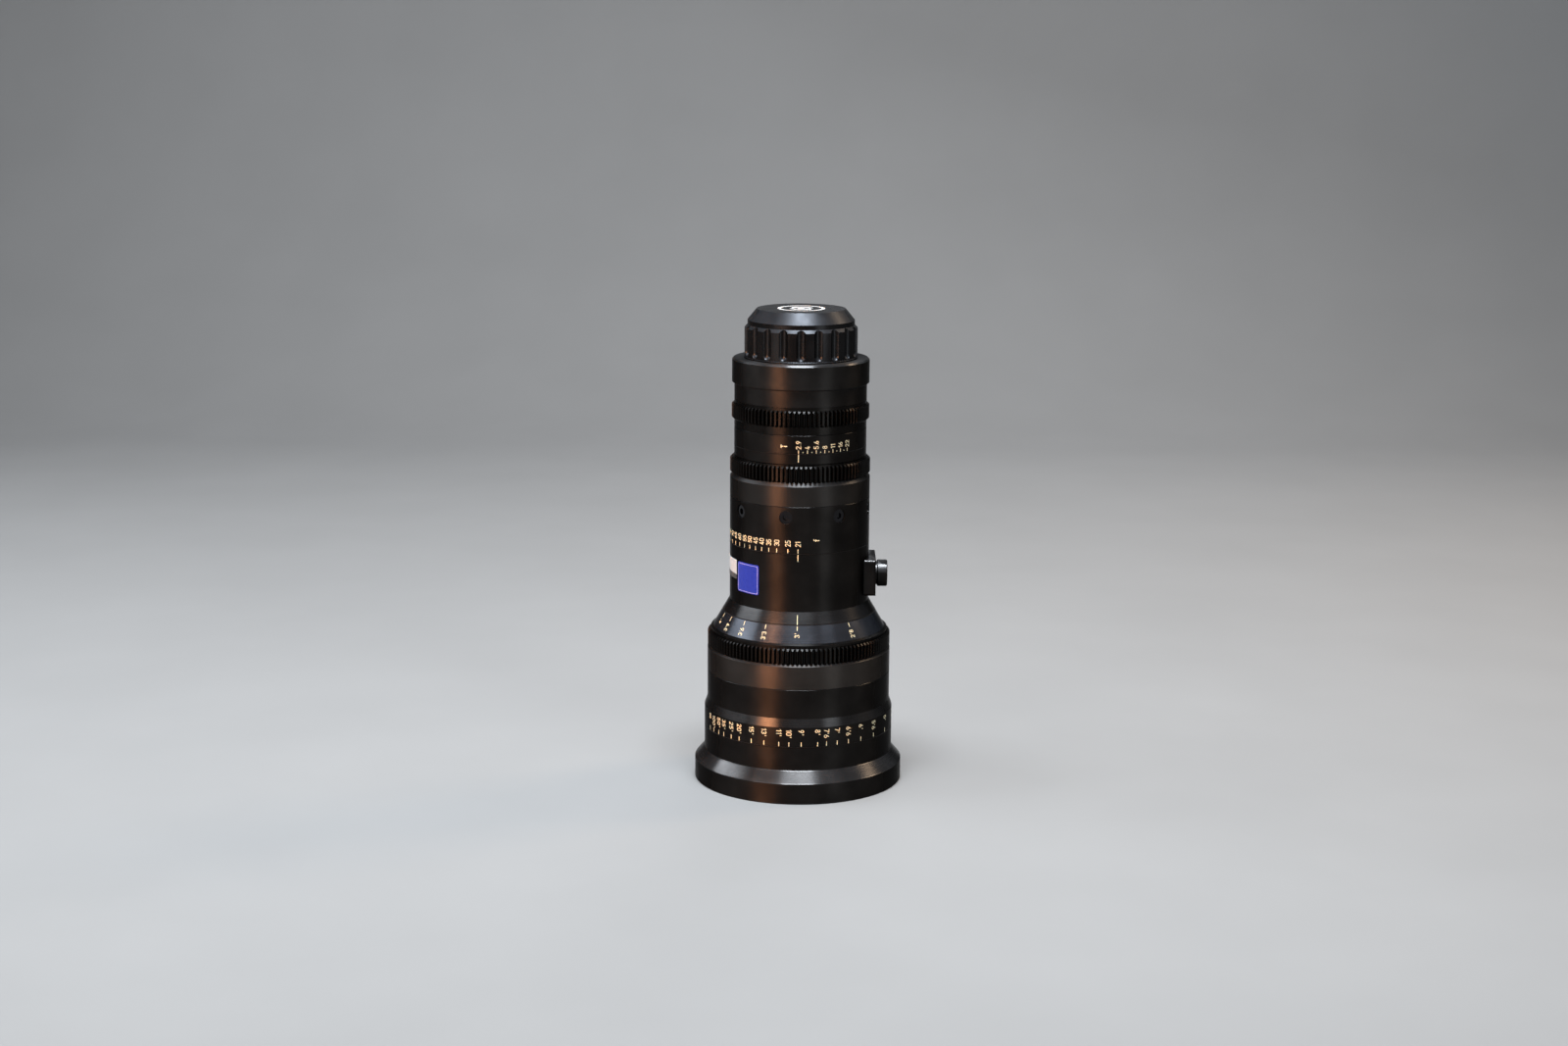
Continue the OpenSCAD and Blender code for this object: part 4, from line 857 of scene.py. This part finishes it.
def add_cap_mark():
    top = high_z("rear_cap") + PRINT_LIFT
    vertices = []
    faces = []

    def strip(rows):
        add_strip(vertices, faces, rows, lambda p: (p[0] * MM, p[1] * MM, top * MM))

    def sweep(radius, width, start, turn, steps):
        strip([
            [
                on_circle(radius + side, start + turn * i / steps)
                for side in (width / 2, -width / 2)
            ]
            for i in range(steps + 1)
        ])

    sweep(CAP_RING_R, CAP_RING_W, 0, 360, 96)
    for start in ARROW_STARTS:
        end = start + ARROW_TURN
        sweep(ARROW_R, ARROW_W, start, ARROW_TURN, 24)
        tip = on_circle(ARROW_R, end + ARROW_TIP_TURN)
        wings = [on_circle(ARROW_R + side, end) for side in (ARROW_HEAD, -ARROW_HEAD)]
        strip([wings, (tip, tip)])
    sweep(CAP_DOT_R / 2, CAP_DOT_R, 0, 360, 32)
    add_piece("cap_turn_mark", vertices, faces, "cap_body", white_print)


add_cap_mark()

# Threads: a helical ridge inside a bore, with its half-widths in shares of the pitch
THREAD_STEPS = 96
ROOT_SHARE = 0.45
CREST_SHARE = 0.06
UP = Vector((0, 0, 1))
RIGHT = Vector((1, 0, 0))
BACK = Vector((0, 1, 0))


def add_thread(name, start, axis, side, radius, pitch, turns, depth, material):
    """A ridge that starts on one side of a place and winds along an axis."""
    other = axis.cross(side)
    profile = (
        (radius, -ROOT_SHARE),
        (radius - depth, -CREST_SHARE),
        (radius - depth, CREST_SHARE),
        (radius, ROOT_SHARE),
    )
    vertices = []
    for i in range(int(turns * THREAD_STEPS) + 1):
        a = 2 * math.pi * i / THREAD_STEPS
        out = side * math.cos(a) + other * math.sin(a)
        for r, rise in profile:
            along = pitch * (i / THREAD_STEPS + rise)
            vertices.append(tuple((start + out * r + axis * along) * MM))
    faces = []
    for i in range(int(turns * THREAD_STEPS)):
        for k in range(len(profile) - 1):
            a = len(profile) * i + k
            b = a + len(profile)
            faces.append((a, a + 1, b + 1, b))
    add_piece(name, vertices, faces, "lens_body", material, smooth=True)


FILTER_R = 53.3
FILTER_START = 0.6
FILTER_PITCH = 1.0
FILTER_TURNS = 4.6
FILTER_DEPTH = 0.5
add_thread(
    "filter_thread", UP * FILTER_START, UP, RIGHT,
    FILTER_R, FILTER_PITCH, FILTER_TURNS, FILTER_DEPTH, satin_black,
)

# The support's socket opens to the right, in the middle of its boss
SOCKET_R = 3.97
SOCKET_START = 0.9
SOCKET_PITCH = 1.5875
SOCKET_TURNS = 4.8
SOCKET_DEPTH = 0.6
boss_low, boss_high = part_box("support_boss")
boss_z = (boss_low.z + boss_high.z) / 2 / MM
boss_face = boss_high.x / MM
add_thread(
    "support_thread", Vector((boss_face - SOCKET_START, 0.0, boss_z)), -RIGHT, BACK,
    SOCKET_R, SOCKET_PITCH, SOCKET_TURNS, SOCKET_DEPTH, gear_black,
)


# Floor, light and background, in metres and watts from here on
WORLD_LIGHT = 0.08
WORLD_SEEN = 0.3
WORLD_COLOUR = (0.93, 0.95, 1.0, 1.0)
FLOOR_COLOUR = (0.375, 0.385, 0.396)
FLOOR_WIDTH = 40.0
FLOOR_NEAR = -20.0
BACKDROP_Y = 1.6
BACKDROP_TOP = 2.4
BEND_R = 0.5
BEND_STEPS = 12
FADE_CENTRE = (0.0, 0.6, 0.0)
FADE_FROM = 1.4
FADE_TO = 1.9


def seen_directly(tree):
    """1 for what the camera sees, also in metal and through glass, and 0 for light."""
    path = tree.nodes.new("ShaderNodeLightPath")
    seen = path.outputs["Is Camera Ray"]
    for ray in ("Is Glossy Ray", "Is Transmission Ray"):
        either = tree.nodes.new("ShaderNodeMath")
        either.operation = "MAXIMUM"
        tree.links.new(seen, either.inputs[0])
        tree.links.new(path.outputs[ray], either.inputs[1])
        seen = either.outputs[0]
    return seen


def fade_into_world(paint):
    """Far from the lens the floor turns into the pale surround, so that no edge shows."""
    flat_place = paint.node("ShaderNodeVectorMath", operation="MULTIPLY")
    flat_place.inputs[1].default_value = (1.0, 1.0, 0.0)
    paint.link(paint.place, flat_place.inputs[0])
    distance = paint.node("ShaderNodeVectorMath", operation="DISTANCE")
    distance.inputs[1].default_value = FADE_CENTRE
    paint.link(flat_place.outputs["Vector"], distance.inputs[0])
    far = paint.node("ShaderNodeMapRange", interpolation_type="SMOOTHSTEP")
    far.inputs["From Min"].default_value = FADE_FROM
    far.inputs["From Max"].default_value = FADE_TO
    paint.link(distance.outputs["Value"], far.inputs["Value"])
    glow = paint.node("ShaderNodeEmission")
    glow.inputs["Color"].default_value = WORLD_COLOUR
    glow.inputs["Strength"].default_value = WORLD_SEEN
    mix = paint.node("ShaderNodeMixShader")
    share = paint.combine(far.outputs["Result"], seen_directly(paint.tree), "MULTIPLY")
    paint.link(share, mix.inputs["Fac"])
    paint.link(paint.shader.outputs["BSDF"], mix.inputs[1])
    paint.link(glow.outputs["Emission"], mix.inputs[2])
    paint.link(mix.outputs["Shader"], paint.tree.nodes["Material Output"].inputs["Surface"])


def add_floor():
    """A wide floor that bends up into a backdrop behind the lens."""
    paint = Paint("pale_floor")
    paint.set(Roughness=0.8, Specular_IOR_Level=0.15)
    patches = paint.noise(scale=9.0, detail=3.0)
    paint.feed("Base Color", paint.two_tone(patches, FLOOR_COLOUR, spread=0.02))
    fade_into_world(paint)
    profile = [(FLOOR_NEAR, 0.0)]
    for i in range(BEND_STEPS + 1):
        a = math.pi / 2 * i / BEND_STEPS
        y = BACKDROP_Y - BEND_R + BEND_R * math.sin(a)
        profile.append((y, BEND_R - BEND_R * math.cos(a)))
    profile.append((BACKDROP_Y, BACKDROP_TOP))
    vertices = [(x, y, z) for y, z in profile for x in (-FLOOR_WIDTH / 2, FLOOR_WIDTH / 2)]
    faces = [(2 * i, 2 * i + 1, 2 * i + 3, 2 * i + 2) for i in range(len(profile) - 1)]
    mesh = bpy.data.meshes.new("floor")
    mesh.from_pydata(vertices, [], faces)
    mesh.materials.append(paint.material)
    for polygon in mesh.polygons:
        polygon.use_smooth = True
    floor = bpy.data.objects.new("floor", mesh)
    bpy.context.scene.collection.objects.link(floor)
    return floor


# Soft boxes point at this height on the axis, and fan out to every side of their front
AIM_HEIGHT = 0.13
OPEN_SPREAD = 180.0


def add_softbox(name, place, size, power, colour, aim=AIM_HEIGHT, spread=OPEN_SPREAD):
    """A soft box at a place, turned towards a height on the axis.

    spread is the angle that its light fans out to, narrow behind a honeycomb grid."""
    light = bpy.data.lights.new(name, "AREA")
    light.shape = "RECTANGLE"
    light.size, light.size_y = size
    light.energy = power
    light.color = colour
    light.spread = math.radians(spread)
    lamp = bpy.data.objects.new(name, light)
    lamp.location = place
    way = Vector((0.0, 0.0, aim)) - Vector(place)
    lamp.rotation_euler = way.to_track_quat("-Z", "Y").to_euler()
    bpy.context.scene.collection.objects.link(lamp)
    return lamp


def keep_off(lamp, thing):
    """The lamp lights everything but one thing: a coloured lamp leaves the floor plain."""
    left_out = bpy.data.collections.new(lamp.name + "_leaves_out")
    left_out.objects.link(thing)
    lamp.light_linking.receiver_collection = left_out
    left_out.collection_objects[0].light_linking.link_state = "EXCLUDE"


def around(azimuth, distance, height):
    """A place round the lens: azimuth is from the camera's side, towards its right."""
    a = math.radians(azimuth)
    return (distance * math.sin(a), -distance * math.cos(a), height)


def add_world():
    """Faint light on the object, and a pale surround where it is seen or mirrored."""
    world = bpy.data.worlds.new("studio")
    world.use_nodes = True
    tree = world.node_tree
    background = tree.nodes["Background"]
    background.inputs["Color"].default_value = WORLD_COLOUR
    strength = tree.nodes.new("ShaderNodeMapRange")
    strength.inputs["To Min"].default_value = WORLD_LIGHT
    strength.inputs["To Max"].default_value = WORLD_SEEN
    tree.links.new(seen_directly(tree), strength.inputs["Value"])
    tree.links.new(strength.outputs["Result"], background.inputs["Strength"])
    bpy.context.scene.world = world


floor = add_floor()
add_world()

# Colours of the lamps, and their names, places, sizes, powers, colours, aims and spreads
WARM = (1.0, 0.37, 0.13)
SOFT_WARM = (1.0, 0.96, 0.91)
COOL = (0.95, 0.975, 1.0)
DAYLIGHT = (0.95, 0.98, 1.0)
AMBER = (1.0, 0.7, 0.45)
LAMPS = (
    ("key", around(-44.0, 1.3, 0.42), (0.75, 0.8), 4.0, SOFT_WARM),
    ("key_core", around(-38.0, 1.28, 0.36), (0.6, 0.64), 1.75, WARM, -0.01, 30.0),
    ("overhead", (-0.15, -0.3, 1.2), (1.1, 0.5), 2.5, COOL),
    ("overhead_core", (0.0, -0.22, 1.19), (0.42, 0.2), 14.0, COOL),
    ("high_left", around(-93.0, 1.15, 0.78), (1.0, 0.4), 8.0, COOL),
    ("right", around(42.0, 1.4, 0.45), (0.45, 0.85), 4.0, DAYLIGHT),
    ("rear_right", around(114.0, 1.05, 1.0), (0.3, 0.3), 4.0, AMBER),
    ("back_fill", around(166.0, 1.2, 0.95), (0.7, 0.4), 4.0, COOL),
)
lamps = {lamp[0]: add_softbox(*lamp) for lamp in LAMPS}
keep_off(lamps["key_core"], floor)

bpy.context.scene.view_settings.view_transform = "Standard"
